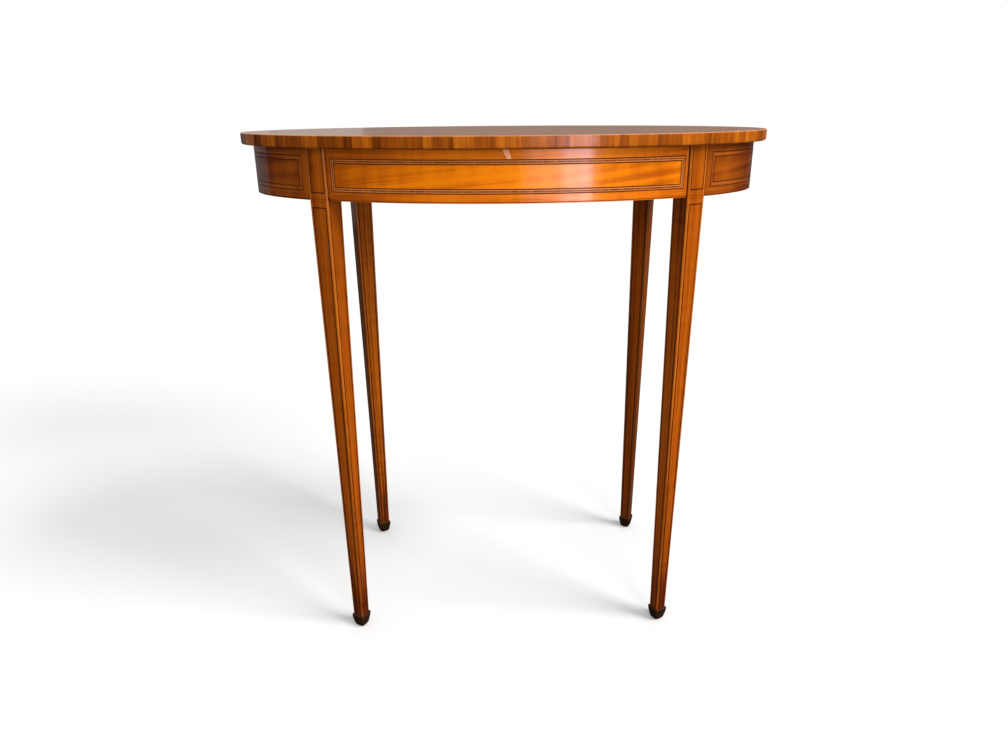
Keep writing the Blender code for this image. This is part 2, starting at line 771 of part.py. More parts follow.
def build_fixings(board, top_rail):
    """Blocks glued into the end rails, and the screws up through them and the top rail into the top."""
    block_inset = RAIL_BACK_INSET + GAP
    under_block = APRON_TOP - BLOCK_HEIGHT
    for corner, (sign_x, sign_y) in CORNERS.items():
        station = math.atan2(sign_y * math.sin(BLOCK_STATION), sign_x * math.cos(BLOCK_STATION))
        angles = spread(station - BLOCK_SPREAD, station + BLOCK_SPREAD, BLOCK_FACETS)
        outer = [apron_point(angle, block_inset) for angle in angles]
        inner = [apron_point(angle, block_inset + BLOCK_DEPTH) for angle in (angles[-1], angles[0])]
        name = f"fixing_block_{corner}"
        block = add_part(name, outline_mesh(name, [outer + inner], under_block, APRON_TOP), "lining")
        place = apron_point(station, block_inset + BLOCK_DEPTH / 2)
        add_screw(f"top_screw_{corner}", place, under_block, block, board)
    for side, hand in HANDS.items():
        place = Vector((hand * RAIL_SCREW_REACH, FRONT_RAIL_BACK_Y - RAIL_SCREW_INSET))
        add_screw(f"top_screw_rail_{side}", place, KICKER_BOTTOM, top_rail, board)


def build_table():
    board = build_top()
    legs = build_legs()
    build_apron(legs)
    front_rails = build_front_rails(legs)
    build_drawer_supports()
    build_drawer()
    build_fixings(board, front_rails["top_rail"])


build_table()
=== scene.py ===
"""Looks of the oval stand table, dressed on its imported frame.

Polished satinwood veneers, crossbandings and inlaid lines cover the frame's solids. Metres, +Z up.
"""

from __future__ import annotations

import logging
import math
from collections.abc import Callable, Iterator, Sequence
from dataclasses import dataclass, field, replace
from enum import Enum, IntEnum

import bmesh
import bpy
import numpy as np
from mathutils import Matrix, Vector


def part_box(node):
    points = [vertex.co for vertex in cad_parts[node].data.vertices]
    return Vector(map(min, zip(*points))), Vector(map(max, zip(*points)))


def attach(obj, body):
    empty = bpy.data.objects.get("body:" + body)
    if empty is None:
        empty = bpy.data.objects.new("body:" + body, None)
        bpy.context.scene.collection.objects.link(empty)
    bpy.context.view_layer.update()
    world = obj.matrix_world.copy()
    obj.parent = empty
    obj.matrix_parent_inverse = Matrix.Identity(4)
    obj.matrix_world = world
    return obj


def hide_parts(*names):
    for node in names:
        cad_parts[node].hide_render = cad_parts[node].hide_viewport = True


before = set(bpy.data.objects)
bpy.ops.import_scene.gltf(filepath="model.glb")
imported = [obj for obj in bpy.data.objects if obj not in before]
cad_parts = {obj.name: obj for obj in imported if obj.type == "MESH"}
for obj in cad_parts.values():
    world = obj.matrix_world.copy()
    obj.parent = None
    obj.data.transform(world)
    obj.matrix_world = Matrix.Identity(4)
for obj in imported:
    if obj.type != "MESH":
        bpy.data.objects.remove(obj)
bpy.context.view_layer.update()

LOG = logging.getLogger("oval_stand_table")
Color = tuple[float, float, float]
Place = tuple[float, float, float]
Spot = tuple[float, float]

# The hairline between two inlaid pieces
JOINT = 0.00004
# Further from an edge than any wear reaches
FAR = 1.0
SMOOTH_ANGLE = math.radians(32.0)
ARRIS_ANGLE = math.radians(50.0)
QUARTER = math.pi / 2
TURN = 2 * math.pi
SOLVE_STEPS = 60
WHITE = (1.0, 1.0, 1.0)


class Body(str, Enum):
    """The rigid bodies that pieces ride on."""

    TABLE = "table"
    DRAWER = "drawer"


class Slot(str, Enum):
    """The record's material slots."""

    SATINWOOD = "satinwood"
    BORDER = "satinwood_border"
    INLAY = "inlay"
    EBONISED = "ebonised"
    CARCASS = "carcass"
    LINING = "lining"
    STEEL = "steel"


class Grain(Enum):
    """Where a wood reads the direction of its fibres from."""

    PIECE = "piece"
    ALONG_X = "x"
    ALONG_Y = "y"


class Measure(Enum):
    """What a painted-shade fade of a wood's tone is measured by."""

    ALONG = "place along the fibres"
    AWAY = "distance from the middle of the fibres' run"
    LEFT = "distance from the piece's left end"
    RIGHT = "distance from the piece's right end"


# Node trees


class Socket:
    """A node's output, on which shader maths is written as plain expressions."""

    def __init__(self, tree: Tree, link: bpy.types.NodeSocket) -> None:
        """Hold an output and the tree that it is in."""
        self.tree = tree
        self.link = link

    def math(self, operation: str, *others: Socket | float) -> Socket:
        """Add a Math node that starts from this value."""
        values = dict(enumerate((self, *others)))
        return self.tree.add("ShaderNodeMath", {"operation": operation}, values).out()

    def __add__(self, other: Socket | float) -> Socket:
        """The sum of two values."""
        return self.math("ADD", other)

    def __radd__(self, other: float) -> Socket:
        """The sum of a number and this value."""
        return self.math("ADD", other)

    def __sub__(self, other: Socket | float) -> Socket:
        """This value less another."""
        return self.math("SUBTRACT", other)

    def __rsub__(self, other: float) -> Socket:
        """A number less this value."""
        return self.tree.add("ShaderNodeMath", {"operation": "SUBTRACT"}, {0: other, 1: self}).out()

    def __mul__(self, other: Socket | float) -> Socket:
        """The product of two values."""
        return self.math("MULTIPLY", other)

    def __rmul__(self, other: float) -> Socket:
        """The product of a number and this value."""
        return self.math("MULTIPLY", other)

    def __truediv__(self, other: Socket | float) -> Socket:
        """This value divided by another."""
        return self.math("DIVIDE", other)

    def least(self, other: Socket | float) -> Socket:
        """The smaller of two values."""
        return self.math("MINIMUM", other)

    def most(self, other: Socket | float) -> Socket:
        """The larger of two values."""
        return self.math("MAXIMUM", other)

    def above(self, other: Socket | float) -> Socket:
        """1 where this value is the larger, and 0 elsewhere."""
        return self.math("GREATER_THAN", other)

    def floor(self) -> Socket:
        """The value rounded down."""
        return self.math("FLOOR")

    def size(self) -> Socket:
        """The value without its sign."""
        return self.math("ABSOLUTE")

    def step(self, low: float, high: float) -> Socket:
        """A smooth rise.

        Args:
            low: The value at which it leaves 0.
            high: The value at which it reaches 1.

        Returns:
            The rise, from 0 to 1.
        """
        settings = {"interpolation_type": "SMOOTHSTEP"}
        values = {"Value": self, "From Min": low, "From Max": high}
        return self.tree.add("ShaderNodeMapRange", settings, values).out("Result")


# Places along and across the fibres, and the layer of wood
Fibres = tuple[Socket, Socket, Socket]


class Added:
    """A node that was added to a tree."""

    def __init__(self, tree: Tree, node: bpy.types.Node) -> None:
        """Hold a node and the tree that it is in."""
        self.tree = tree
        self.node = node

    def out(self, name: str | int = 0) -> Socket:
        """One of the node's outputs, by name or place."""
        return Socket(self.tree, self.node.outputs[name])


class Tree:
    """Adds nodes to one node tree."""

    def __init__(self, group: bpy.types.NodeTree) -> None:
        """Hold the tree that the nodes go into."""
        self.group = group

    def add(
        self,
        kind: str,
        settings: dict[str, object] | None = None,
        sockets: dict[str | int, object] | None = None,
    ) -> Added:
        """Add a node.

        Args:
            kind: The node's type.
            settings: Its properties, set first. "stops" fills a ramp with places and colours.
            sockets: Values or links of its inputs, by name or place.

        Returns:
            The added node.
        """
        node = self.group.nodes.new(kind)
        for name, value in (settings or {}).items():
            if name == "stops":
                self.fill_ramp(node.color_ramp, value)
            else:
                setattr(node, name, value)
        self.fill(node, sockets or {})
        return Added(self, node)

    def fill(self, node: bpy.types.Node, sockets: dict[str | int, object]) -> None:
        """Set or link a node's inputs.

        Args:
            node: The node.
            sockets: Values or links, by the input's name or place.
        """
        for name, value in sockets.items():
            if isinstance(value, Socket):
                self.group.links.new(value.link, node.inputs[name])
            else:
                node.inputs[name].default_value = value

    @staticmethod
    def fill_ramp(ramp: bpy.types.ColorRamp, stops: Sequence[tuple[float, Color]]) -> None:
        """Give a ramp its stops.

        Args:
            ramp: The ramp.
            stops: Each stop's place and colour, in order.
        """
        while len(ramp.elements) < len(stops):
            ramp.elements.new(1.0)
        for element, (place, color) in zip(ramp.elements, stops):
            element.position = place
            element.color = (*color, 1.0)

    def show(self, surface: Socket, instead_of: str, output: str = "Material Output") -> None:
        """Show a surface instead of the shader that the tree starts with."""
        self.group.nodes.remove(self.group.nodes[instead_of])
        self.fill(self.group.nodes[output], {"Surface": surface})

    def vector(self, x: Socket | float, y: Socket | float, z: Socket | float) -> Socket:
        """Three values as a vector."""
        return self.add("ShaderNodeCombineXYZ", None, {0: x, 1: y, 2: z}).out()

    def split(self, vector: Socket) -> tuple[Socket, Socket, Socket]:
        """A vector's three values."""
        parts = self.add("ShaderNodeSeparateXYZ", None, {0: vector})
        return parts.out(0), parts.out(1), parts.out(2)

    def object_place(self) -> Socket:
        """Where a point lies on its piece."""
        return self.add("ShaderNodeTexCoord").out("Object")

    def attribute(self, name: str) -> Socket:
        """A vector that a mesh holds at its face corners."""
        settings = {"attribute_type": "GEOMETRY", "attribute_name": name}
        return self.add("ShaderNodeAttribute", settings).out("Vector")

    def noise(self, place: Socket, detail: float = 2.0, roughness: float = 0.5) -> Socket:
        """Soft noise round zero, about -0.5 to 0.5, one lump to a unit of the place."""
        sockets = {"Vector": place, "Scale": 1.0, "Detail": detail, "Roughness": roughness}
        return self.add("ShaderNodeTexNoise", None, sockets).out("Fac") - 0.5

    def specks(self, number: float, detail: float, roughness: float = 0.5) -> Socket:
        """Soft noise through a whole piece.

        Args:
            number: How many lumps there are to a metre.
            detail: How many finer noises are laid on it.
            roughness: How strong these are.

        Returns:
            The noise, round zero.
        """
        sockets = {0: self.object_place(), "Scale": number}
        place = self.add("ShaderNodeVectorMath", {"operation": "SCALE"}, sockets).out()
        return self.noise(place, detail, roughness)

    def mix(self, share: Socket | float, first: Socket | Color, second: Socket | Color) -> Socket:
        """One colour fading into another.

        Args:
            share: How much of the second colour shows.
            first: The first colour.
            second: The second colour.

        Returns:
            The mixed colour.
        """
        first = first if isinstance(first, Socket) else (*first, 1.0)
        second = second if isinstance(second, Socket) else (*second, 1.0)
        settings = {"data_type": "RGBA"}
        return self.add("ShaderNodeMix", settings, {0: share, 6: first, 7: second}).out(2)


def new_material(name: str) -> tuple[bpy.types.Material, Tree]:
    """Start a material.

    Args:
        name: Its name.

    Returns:
        The material and its tree.
    """
    material = bpy.data.materials.new(name)
    material.use_nodes = True
    return material, Tree(material.node_tree)


# Finishes


@dataclass(frozen=True)
class ShadeFade:
    """Painted shade: a stretch of a piece over which its wood's tone falls."""

    start: float
    end: float
    depth: float
    measure: Measure = Measure.ALONG


@dataclass(frozen=True)
class WoodPattern:
    """What all the woods share: the sizes of their patterns, and how far these sway tone, polish and relief.

    Sizes are in metres. A layer shifts one pattern away from the others.
    """

    drift: float = 0.05
    drift_run: float = 0.09
    drift_sway: float = 2.0
    band_sway: float = 2.4
    fibre_sway: float = 1.6
    ribbon_sway: float = 2.0
    ribbon_stretch: float = 3.5
    leaf_sway: float = 2.0
    leaf_drift: float = 1.7
    leaf_stagger: float = 1.3
    leaf_layers: float = 40.0
    tones: tuple[float, float, float] = (0.05, 0.5, 0.95)
    pore: float = 0.00045
    pore_run: float = 0.007
    pore_layer: float = 7.0
    pore_start: float = 0.10
    pore_full: float = 0.20
    pore_rough: float = 0.12
    pore_dull: float = 0.15
    pore_relief: float = 0.8
    smear: float = 0.018
    smear_run: float = 0.030
    smear_layer: float = 3.0
    smear_rough: float = 0.10
    smear_shine: float = 0.2
    rim_specks: float = 160.0
    rim_even: float = 0.75
    rim_patchy: float = 1.2
    rim_rough: float = 0.10
    rim_dull: float = 0.25
    fibre_relief: float = 0.6
    relief: float = 0.0002
    board_slant: float = 0.7
    board_layer: float = 0.012


@dataclass(frozen=True)
class WoodFinish:
    """A polished or bare wood.

    Widths and lengths are in metres, shares run from 0 to 1.
    """

    name: str
    deep: Color
    body: Color
    pale: Color
    band: float = 0.011
    band_run: float = 0.50
    band_share: float = 0.42
    fibre: float = 0.0011
    fibre_run: float = 0.060
    fibre_share: float = 0.30
    ribbon: float = 0.016
    ribbon_share: float = 0.16
    pore_share: float = 0.30
    leaf: float = 0.0
    leaf_share: float = 0.0
    wave: float = 0.0016
    roughness: float = 0.34
    coat: float = 0.55
    coat_roughness: float = 0.09
    lustre: float = 0.25
    sheen: float = 0.06
    slope: float = 0.0
    shade_fades: tuple[ShadeFade, ...] = ()
    # Colour the edges take instead of the deep colour: wear with a painted highlight.
    wear_and_highlight: Color | None = None
    rim: float = 0.0016
    rim_share: float = 0.35
    bump: float = 0.12
    pattern: WoodPattern = WoodPattern()

    def material(self, grain: Grain = Grain.PIECE) -> bpy.types.Material:
        """Build the finish as a material, once for each direction of its fibres.

        Args:
            grain: Where the direction of the fibres comes from.

        Returns:
            The material.
        """
        name = f"{self.name}_{grain.value}"
        found = bpy.data.materials.get(name)
        if found:
            return found
        material, tree = new_material(name)
        pattern = self.pattern
        along, across, layer = self.fibres(tree, grain)
        layer, leaf_tone = self.leaves(tree, across, layer)
        drift = self.figure(tree, (along, across, layer), pattern.drift_run, pattern.drift)
        across = across + drift * (pattern.drift_sway * self.wave)
        if self.slope:
            across = across - along * self.slope

        wood = (along, across, layer)
        fibres = self.figure(tree, wood, self.fibre_run, self.fibre, detail=3.0, roughness=0.6)
        color = self.color(tree, wood, fibres, leaf_tone)
        pore_wood = (along, across, layer + pattern.pore_layer)
        pores = self.figure(tree, pore_wood, pattern.pore_run, pattern.pore, roughness=0.6)
        pores = pores.step(pattern.pore_start, pattern.pore_full)
        color = tree.mix(pores * self.pore_share, color, self.deep)
        smear_wood = (along, across, layer + pattern.smear_layer)
        smear = self.figure(tree, smear_wood, pattern.smear_run, pattern.smear, detail=3.0)
        rough = self.roughness + smear * pattern.smear_rough + pores * pattern.pore_rough
        coat = self.coat - pores * pattern.pore_dull + smear * pattern.smear_shine
        if grain is Grain.PIECE:
            rim = self.rim_shade(tree)
            color = tree.mix(rim * self.rim_share, color, self.wear_and_highlight or self.deep)
            rough = rough + rim * pattern.rim_rough
            coat = coat - rim * pattern.rim_dull

        height = fibres * pattern.fibre_relief - pores * pattern.pore_relief
        relief = {"Strength": self.bump, "Distance": pattern.relief, "Height": height}
        sockets = {
            "Base Color": color,
            "Roughness": rough,
            "Normal": tree.add("ShaderNodeBump", None, relief).out("Normal"),
            "Coat Roughness": self.coat_roughness,
            "Metallic": self.lustre,
            "Specular IOR Level": self.sheen,
        }
        if self.coat > 0.0:
            sockets["Coat Weight"] = coat.most(0.0)
        tree.fill(tree.group.nodes["Principled BSDF"], sockets)
        return material

    def fibres(self, tree: Tree, grain: Grain) -> Fibres:
        """Where a point lies in the wood.

        Args:
            tree: The material's tree.
            grain: Where the direction of the fibres comes from.

        Returns:
            Its places along and across the fibres, in metres, and its layer.
        """
        if grain is Grain.PIECE:
            return tree.split(tree.attribute("grain"))
        x, y, z = tree.split(tree.object_place())
        along, across = (x, y) if grain is Grain.ALONG_X else (y, x)
        return along, across + z * self.pattern.board_slant, z / self.pattern.board_layer

    def leaves(self, tree: Tree, across: Socket, layer: Socket) -> tuple[Socket, Socket | float]:
        """Cut the wood into leaves of unlike tone, as a crossbanding is.

        Args:
            tree: The material's tree.
            across: Place across the fibres.
            layer: The layer of wood.

        Returns:
            The layer of each leaf, and its tone round zero.
        """
        if self.leaf == 0.0:
            return layer, 0.0
        pattern = self.pattern
        uneven = tree.noise(tree.vector(across / (pattern.leaf_drift * self.leaf), 0.0, layer))
        count = (across / self.leaf + uneven * pattern.leaf_stagger).floor()
        place = {"Vector": tree.vector(count, 0.5, 0.0)}
        chance = tree.add("ShaderNodeTexWhiteNoise", {"noise_dimensions": "2D"}, place).out("Value")
        return layer + chance * pattern.leaf_layers, (chance - 0.5) * (pattern.leaf_sway * self.leaf_share)

    @staticmethod
    def figure(
        tree: Tree, wood: Fibres, run: float, width: float, detail: float = 2.0, roughness: float = 0.5
    ) -> Socket:
        """Noise round zero, this long along the fibres and this wide across them."""
        along, across, layer = wood
        return tree.noise(tree.vector(along / run, across / width, layer), detail, roughness)

    def color(self, tree: Tree, wood: Fibres, fibres: Socket, leaf_tone: Socket | float) -> Socket:
        """The wood's colour, with its painted shade, before its pores and rims.

        Args:
            tree: The material's tree.
            wood: Where a point lies in the wood.
            fibres: The noise of its fibres.
            leaf_tone: The tone of its leaf.

        Returns:
            The colour.
        """
        pattern = self.pattern
        bands = self.figure(tree, wood, self.band_run, self.band, detail=3.0)
        ribbons = self.figure(tree, wood, self.ribbon, pattern.ribbon_stretch * self.ribbon)
        tone = pattern.tones[1] + bands * (pattern.band_sway * self.band_share)
        tone = tone + fibres * (pattern.fibre_sway * self.fibre_share)
        tone = tone + ribbons * (pattern.ribbon_sway * self.ribbon_share) + leaf_tone
        for fade in self.shade_fades:
            place = self.fade_place(tree, fade.measure, wood[0])
            tone = tone - place.step(fade.start, fade.end) * fade.depth
        stops = list(zip(pattern.tones, (self.deep, self.body, self.pale)))
        return tree.add("ShaderNodeValToRGB", {"stops": stops}, {"Fac": tone}).out("Color")

    def fade_place(self, tree: Tree, measure: Measure, along: Socket) -> Socket:
        """What a fade is measured by.

        Args:
            tree: The material's tree.
            measure: The kind of measure.
            along: Place along the fibres.

        Returns:
            The measure, in metres.
        """
        if measure is Measure.AWAY:
            return along.size()
        if measure is Measure.LEFT:
            return self.rim_place(tree, "rim_low")[0]
        if measure is Measure.RIGHT:
            return self.rim_place(tree, "rim_high")[0]
        return along

    @staticmethod
    def rim_place(tree: Tree, name: str) -> tuple[Socket, Socket]:
        """Distances from a piece's left and lower edges, or from its right and upper ones."""
        return tree.split(tree.attribute(name))[:2]

    def rim_shade(self, tree: Tree) -> Socket:
        """Grime along a piece's edges, patchy; wear with a painted highlight where the finish gives that
        colour.

        Args:
            tree: The material's tree.

        Returns:
            How strongly it shows, from 0 up.
        """
        sides = [*self.rim_place(tree, "rim_low"), *self.rim_place(tree, "rim_high")]
        nearest = sides[0].least(sides[1]).least(sides[2].least(sides[3]))
        patches = tree.specks(self.pattern.rim_specks, detail=3.0)
        strength = (self.pattern.rim_even + patches * self.pattern.rim_patchy).most(0.0)
        return (1.0 - nearest.step(0.0, self.rim)) * strength


@dataclass(frozen=True)
class SteelFinish:
    """Dull wood screws, browned in their slots."""

    name: str = "screw_steel"
    bright: Color = (0.34, 0.31, 0.28)
    rust: Color = (0.12, 0.055, 0.025)
    specks: float = 900.0
    rust_start: float = -0.06
    rust_full: float = 0.16
    dulled: float = 0.8
    roughness: float = 0.35
    rust_rough: float = 0.4

    def material(self) -> bpy.types.Material:
        """Build the finish as a material.

        Returns:
            The material.
        """
        material, tree = new_material(self.name)
        rusted = tree.specks(self.specks, detail=4.0, roughness=0.65).step(self.rust_start, self.rust_full)
        sockets = {
            "Base Color": tree.mix(rusted, self.bright, self.rust),
            "Metallic": 1.0 - rusted * self.dulled,
            "Roughness": self.roughness + rusted * self.rust_rough,
        }
        tree.fill(tree.group.nodes["Principled BSDF"], sockets)
        return material


# Painted shade: the panel's tone falls towards its left end and, less, towards its right end.
PANEL = WoodFinish(
    "satinwood_panel", (0.48, 0.096, 0.001), (0.91, 0.222, 0.001), (0.96, 0.275, 0.002),
    band=0.008, band_share=0.50, ribbon=0.020, ribbon_share=0.30, lustre=0.25, roughness=0.42, slope=0.10,
    coat=0.75, coat_roughness=0.05, shade_fades=(ShadeFade(-0.06, -0.23, 0.36), ShadeFade(0.06, 0.18, 0.28)),
)
# Painted shade: the border darkens towards both ends, more at the left.
BORDER = WoodFinish(
    "banded_border", (0.38, 0.075, 0.002), (0.74, 0.170, 0.004), (0.92, 0.26, 0.008),
    band=0.005, band_run=0.12, ribbon=0.018, ribbon_share=0.25, lustre=0.2, coat=0.75, coat_roughness=0.05,
    shade_fades=(ShadeFade(0.16, 0.0, 0.45, Measure.LEFT), ShadeFade(0.07, 0.0, 0.34, Measure.RIGHT)),
)
# Painted shade: the end panels, borders and bands darken towards the middle of their run.
END_PANEL = WoodFinish(
    "end_panel", (0.14, 0.021, 0.001), (0.30, 0.063, 0.002), (0.42, 0.10, 0.004),
    band=0.009, ribbon=0.018, ribbon_share=0.30, slope=0.06, lustre=0.2, coat=0.75, coat_roughness=0.05,
    shade_fades=(ShadeFade(0.150, 0.085, 0.36, Measure.AWAY),),
)
END_BORDER = WoodFinish(
    "end_border", (0.14, 0.021, 0.001), (0.32, 0.068, 0.003), (0.46, 0.115, 0.006),
    band=0.005, band_run=0.12, ribbon=0.018, ribbon_share=0.20, lustre=0.2, coat=0.75, coat_roughness=0.05,
    shade_fades=(ShadeFade(0.150, 0.085, 0.36, Measure.AWAY),),
)
END_BAND = replace(END_BORDER, name="end_band", body=(0.38, 0.092, 0.008), pale=(0.52, 0.145, 0.016))
BACK_PANEL = replace(END_PANEL, name="back_panel", shade_fades=())
BACK_BORDER = replace(END_BORDER, name="back_border", shade_fades=())
BACK_BAND = replace(END_BAND, name="back_band", shade_fades=())
CROSSBAND = WoodFinish(
    "crossbanded_top", (0.21, 0.054, 0.004), (0.38, 0.114, 0.010), (0.53, 0.19, 0.020),
    band=0.007, band_run=0.2, leaf=0.045, leaf_share=0.10, coat_roughness=0.14,
)
# Painted shade: the field darkens towards its left end.
FIELD = WoodFinish(
    "satinwood_field", (0.18, 0.058, 0.009), (0.34, 0.120, 0.020), (0.47, 0.19, 0.036),
    band=0.016, band_run=0.8, ribbon=0.024, ribbon_share=0.22, roughness=0.36, coat=0.60, coat_roughness=0.16,
    shade_fades=(ShadeFade(-0.05, -0.33, 0.20),),
)
# Painted shade: the leg darkens towards the floor.
LEG = WoodFinish(
    "satinwood_leg", (0.085, 0.012, 0.001), (0.386, 0.078, 0.002), (0.53, 0.13, 0.005),
    band=0.005, band_share=0.55, ribbon_share=0.16, lustre=0.2,
    shade_fades=(ShadeFade(0.40, 0.03, 0.22), ShadeFade(0.13, 0.03, 0.26)),
)
# A darker copy of the leg wood, as painted shade for the back right leg, with painted shade towards the floor
# and up under the apron.
DARK_LEG = WoodFinish(
    "satinwood_leg_dark", (0.060, 0.010, 0.001), (0.25, 0.048, 0.001), (0.36, 0.082, 0.003),
    band=0.006, ribbon_share=0.10, lustre=0.2, shade_fades=(ShadeFade(0.42, 0.05, 0.18), ShadeFade(0.480, 0.570, 0.12)),
)
# The legs' pale arris strips: paler wood with a painted highlight of the arris; painted shade darkens them
# towards the floor.
EDGE_STRIP = WoodFinish(
    "pale_edge_strip", (0.12, 0.018, 0.001), (0.50, 0.128, 0.008), (0.68, 0.21, 0.024),
    band=0.004, rim_share=0.0, lustre=0.2, coat=0.30, shade_fades=(ShadeFade(0.52, 0.04, 0.30),),
)
# Painted highlight along the top's upper arris, in its wear-and-highlight colour, and painted shade towards
# its left end.
EDGE = WoodFinish(
    "crossbanded_edge", (0.11, 0.020, 0.001), (0.340, 0.079, 0.003), (0.56, 0.160, 0.010),
    band=0.004, band_run=0.2, band_share=0.30, fibre_share=0.20, leaf=0.012, leaf_share=0.24, lustre=0.12,
    roughness=0.38, coat=0.42, coat_roughness=0.06, wear_and_highlight=(0.80, 0.42, 0.22), rim=0.0013, rim_share=0.70,
    shade_fades=(ShadeFade(FAR + 0.40, FAR + 0.05, 0.16, Measure.LEFT),),
)
DARK_LINE = WoodFinish(
    "dark_line", (0.020, 0.003, 0.001), (0.075, 0.014, 0.001), (0.13, 0.028, 0.003),
    rim_share=0.0, coat=0.20, lustre=0.0,
)
LIGHT_LINE = WoodFinish(
    "light_line", (0.30, 0.085, 0.012), (0.54, 0.180, 0.044), (0.72, 0.30, 0.10),
    band=0.004, rim=0.0003, rim_share=0.2, coat=0.40, lustre=0.1,
)
MIDDLE_LINE = WoodFinish(
    "middle_line", (0.07, 0.013, 0.001), (0.24, 0.050, 0.003), (0.44, 0.11, 0.012),
    band=0.003, band_share=0.2, ribbon=0.0035, ribbon_share=0.80, rim_share=0.0, coat=0.40, lustre=0.1,
)
# A pale patch on the drawer's border.
PALE_PATCH = WoodFinish(
    "pale_scuff", (0.72, 0.27, 0.13), (0.92, 0.43, 0.24), (0.98, 0.56, 0.36),
    band=0.003, roughness=0.50, coat=0.30, rim_share=0.6, rim=0.0012, lustre=0.0,
)
# Its wear-and-highlight colour paints the brow pale: a painted highlight on the lit chamfer, with some wear.
FOOT = WoodFinish(
    "dark_foot", (0.007, 0.003, 0.001), (0.022, 0.008, 0.003), (0.055, 0.021, 0.008),
    band=0.004, roughness=0.50, coat=0.12, coat_roughness=0.3, bump=0.4, lustre=0.0,
    wear_and_highlight=(0.075, 0.034, 0.018), rim=0.0008, rim_share=0.75,
)
GROUND = WoodFinish(
    "mahogany_ground", (0.070, 0.026, 0.012), (0.17, 0.070, 0.030), (0.27, 0.12, 0.055),
    roughness=0.62, coat=0.0, bump=0.35, pore_share=0.6, rim_share=0.2, lustre=0.0,
)
LINING = WoodFinish(
    "oak_lining", (0.17, 0.090, 0.040), (0.36, 0.215, 0.105), (0.50, 0.33, 0.18),
    band=0.008, roughness=0.68, coat=0.0, bump=0.5, pore_share=0.65, ribbon_share=0.08, rim_share=0.25,
    lustre=0.0,
)
# A darker copy of the leg wood: painted shade for the back left leg's side turned from the light.
SHADED_LEG = replace(
    LEG, name="satinwood_leg_shaded", coat=0.75, shade_fades=(),
    deep=(0.05, 0.012, 0.002), body=(0.17, 0.044, 0.004), pale=(0.24, 0.070, 0.008),
)
# A lighter copy of the leg wood, painted light for the back left leg, with painted shade up under the apron.
BACK_LEG = replace(
    LEG, name="satinwood_leg_back", body=(0.52, 0.116, 0.004), pale=(0.67, 0.168, 0.007),
    shade_fades=(*LEG.shade_fades, ShadeFade(0.480, 0.540, 0.20)),
)
# The front right leg's inner side: a weaker painted shade towards the floor, and painted shade up under the
# apron.
INNER_LEG = replace(
    LEG, name="satinwood_leg_inner",
    shade_fades=(ShadeFade(0.40, 0.03, 0.10), ShadeFade(0.13, 0.03, 0.12), ShadeFade(0.555, 0.615, 0.15)),
)
# A darker copy of the pale arris strips: painted shade for the back right leg.
DARK_STRIP = replace(
    EDGE_STRIP, name="dark_edge_strip",
    deep=(0.06, 0.014, 0.002), body=(0.19, 0.056, 0.010), pale=(0.28, 0.09, 0.02),
)
LEG_LINE = replace(DARK_LINE, name="leg_line", body=(0.042, 0.007, 0.001), pale=(0.09, 0.018, 0.002))
WORN_GROUND = replace(
    GROUND, name="mahogany_arris",
    deep=(0.10, 0.040, 0.018), body=(0.23, 0.10, 0.045), pale=(0.34, 0.17, 0.08),
)
WORN_LINING = replace(
    LINING, name="oak_arris",
    deep=(0.22, 0.125, 0.060), body=(0.43, 0.28, 0.15), pale=(0.56, 0.39, 0.23),
)


# Meshes


@dataclass(frozen=True)
class Patch:
    """A stretch of an unrolled surface: from s0 to s1 along it and from z0 to z1 up it."""

    s0: float
    s1: float
    z0: float
    z1: float

    def inset(self, margin: float) -> Patch:
        """The patch drawn in by a margin on all sides."""
        return Patch(self.s0 + margin, self.s1 - margin, self.z0 + margin, self.z1 - margin)


@dataclass
class Draft:
    """Points and faces of a piece while it is built, with the wood's places at each face's corners."""

    points: list[Vector] = field(default_factory=list)
    faces: list[tuple[int, ...]] = field(default_factory=list)
    slots: list[int] = field(default_factory=list)
    grain: list[Place] = field(default_factory=list)
    rim_low: list[Place] = field(default_factory=list)
    rim_high: list[Place] = field(default_factory=list)

    def add_point(self, place: Vector) -> int:
        """Add a point and return its number."""
        self.points.append(place)
        return len(self.points) - 1

    def add_face(
        self,
        corners: Sequence[int],
        places: Sequence[Spot],
        patch: Patch,
        upright: bool = False,
        layer: float = 0.0,
        slot: int = 0,
    ) -> None:
        """Add a face.

        Args:
            corners: Numbers of its points, anticlockwise seen from outside.
            places: Where each corner lies on the unrolled surface, along and up.
            patch: The stretch of surface whose edges gather grime.
            upright: Whether the fibres run up instead of along.
            layer: Which leaf of wood it is cut from.
            slot: Number of its material.
        """
        self.faces.append(tuple(corners))
        self.slots.append(int(slot))
        for s, z in places:
            self.grain.append((z, s, layer) if upright else (s, z, layer))
            self.rim_low.append((s - patch.s0, z - patch.z0, 0.0))
            self.rim_high.append((patch.s1 - s, patch.z1 - z, 0.0))

    def build(self, name: str, *materials: bpy.types.Material) -> bpy.types.Object:
        """Make the draft a mesh object at the origin.

        Args:
            name: The piece's name.
            materials: One for each slot number.

        Returns:
            The object.
        """
        mesh = bpy.data.meshes.new(name)
        mesh.from_pydata(self.points, [], self.faces)
        for material in materials:
            mesh.materials.append(material)
        mesh.polygons.foreach_set("material_index", self.slots)
        mark_wood(mesh, self.grain, self.rim_low, self.rim_high)
        return place_mesh(name, mesh)


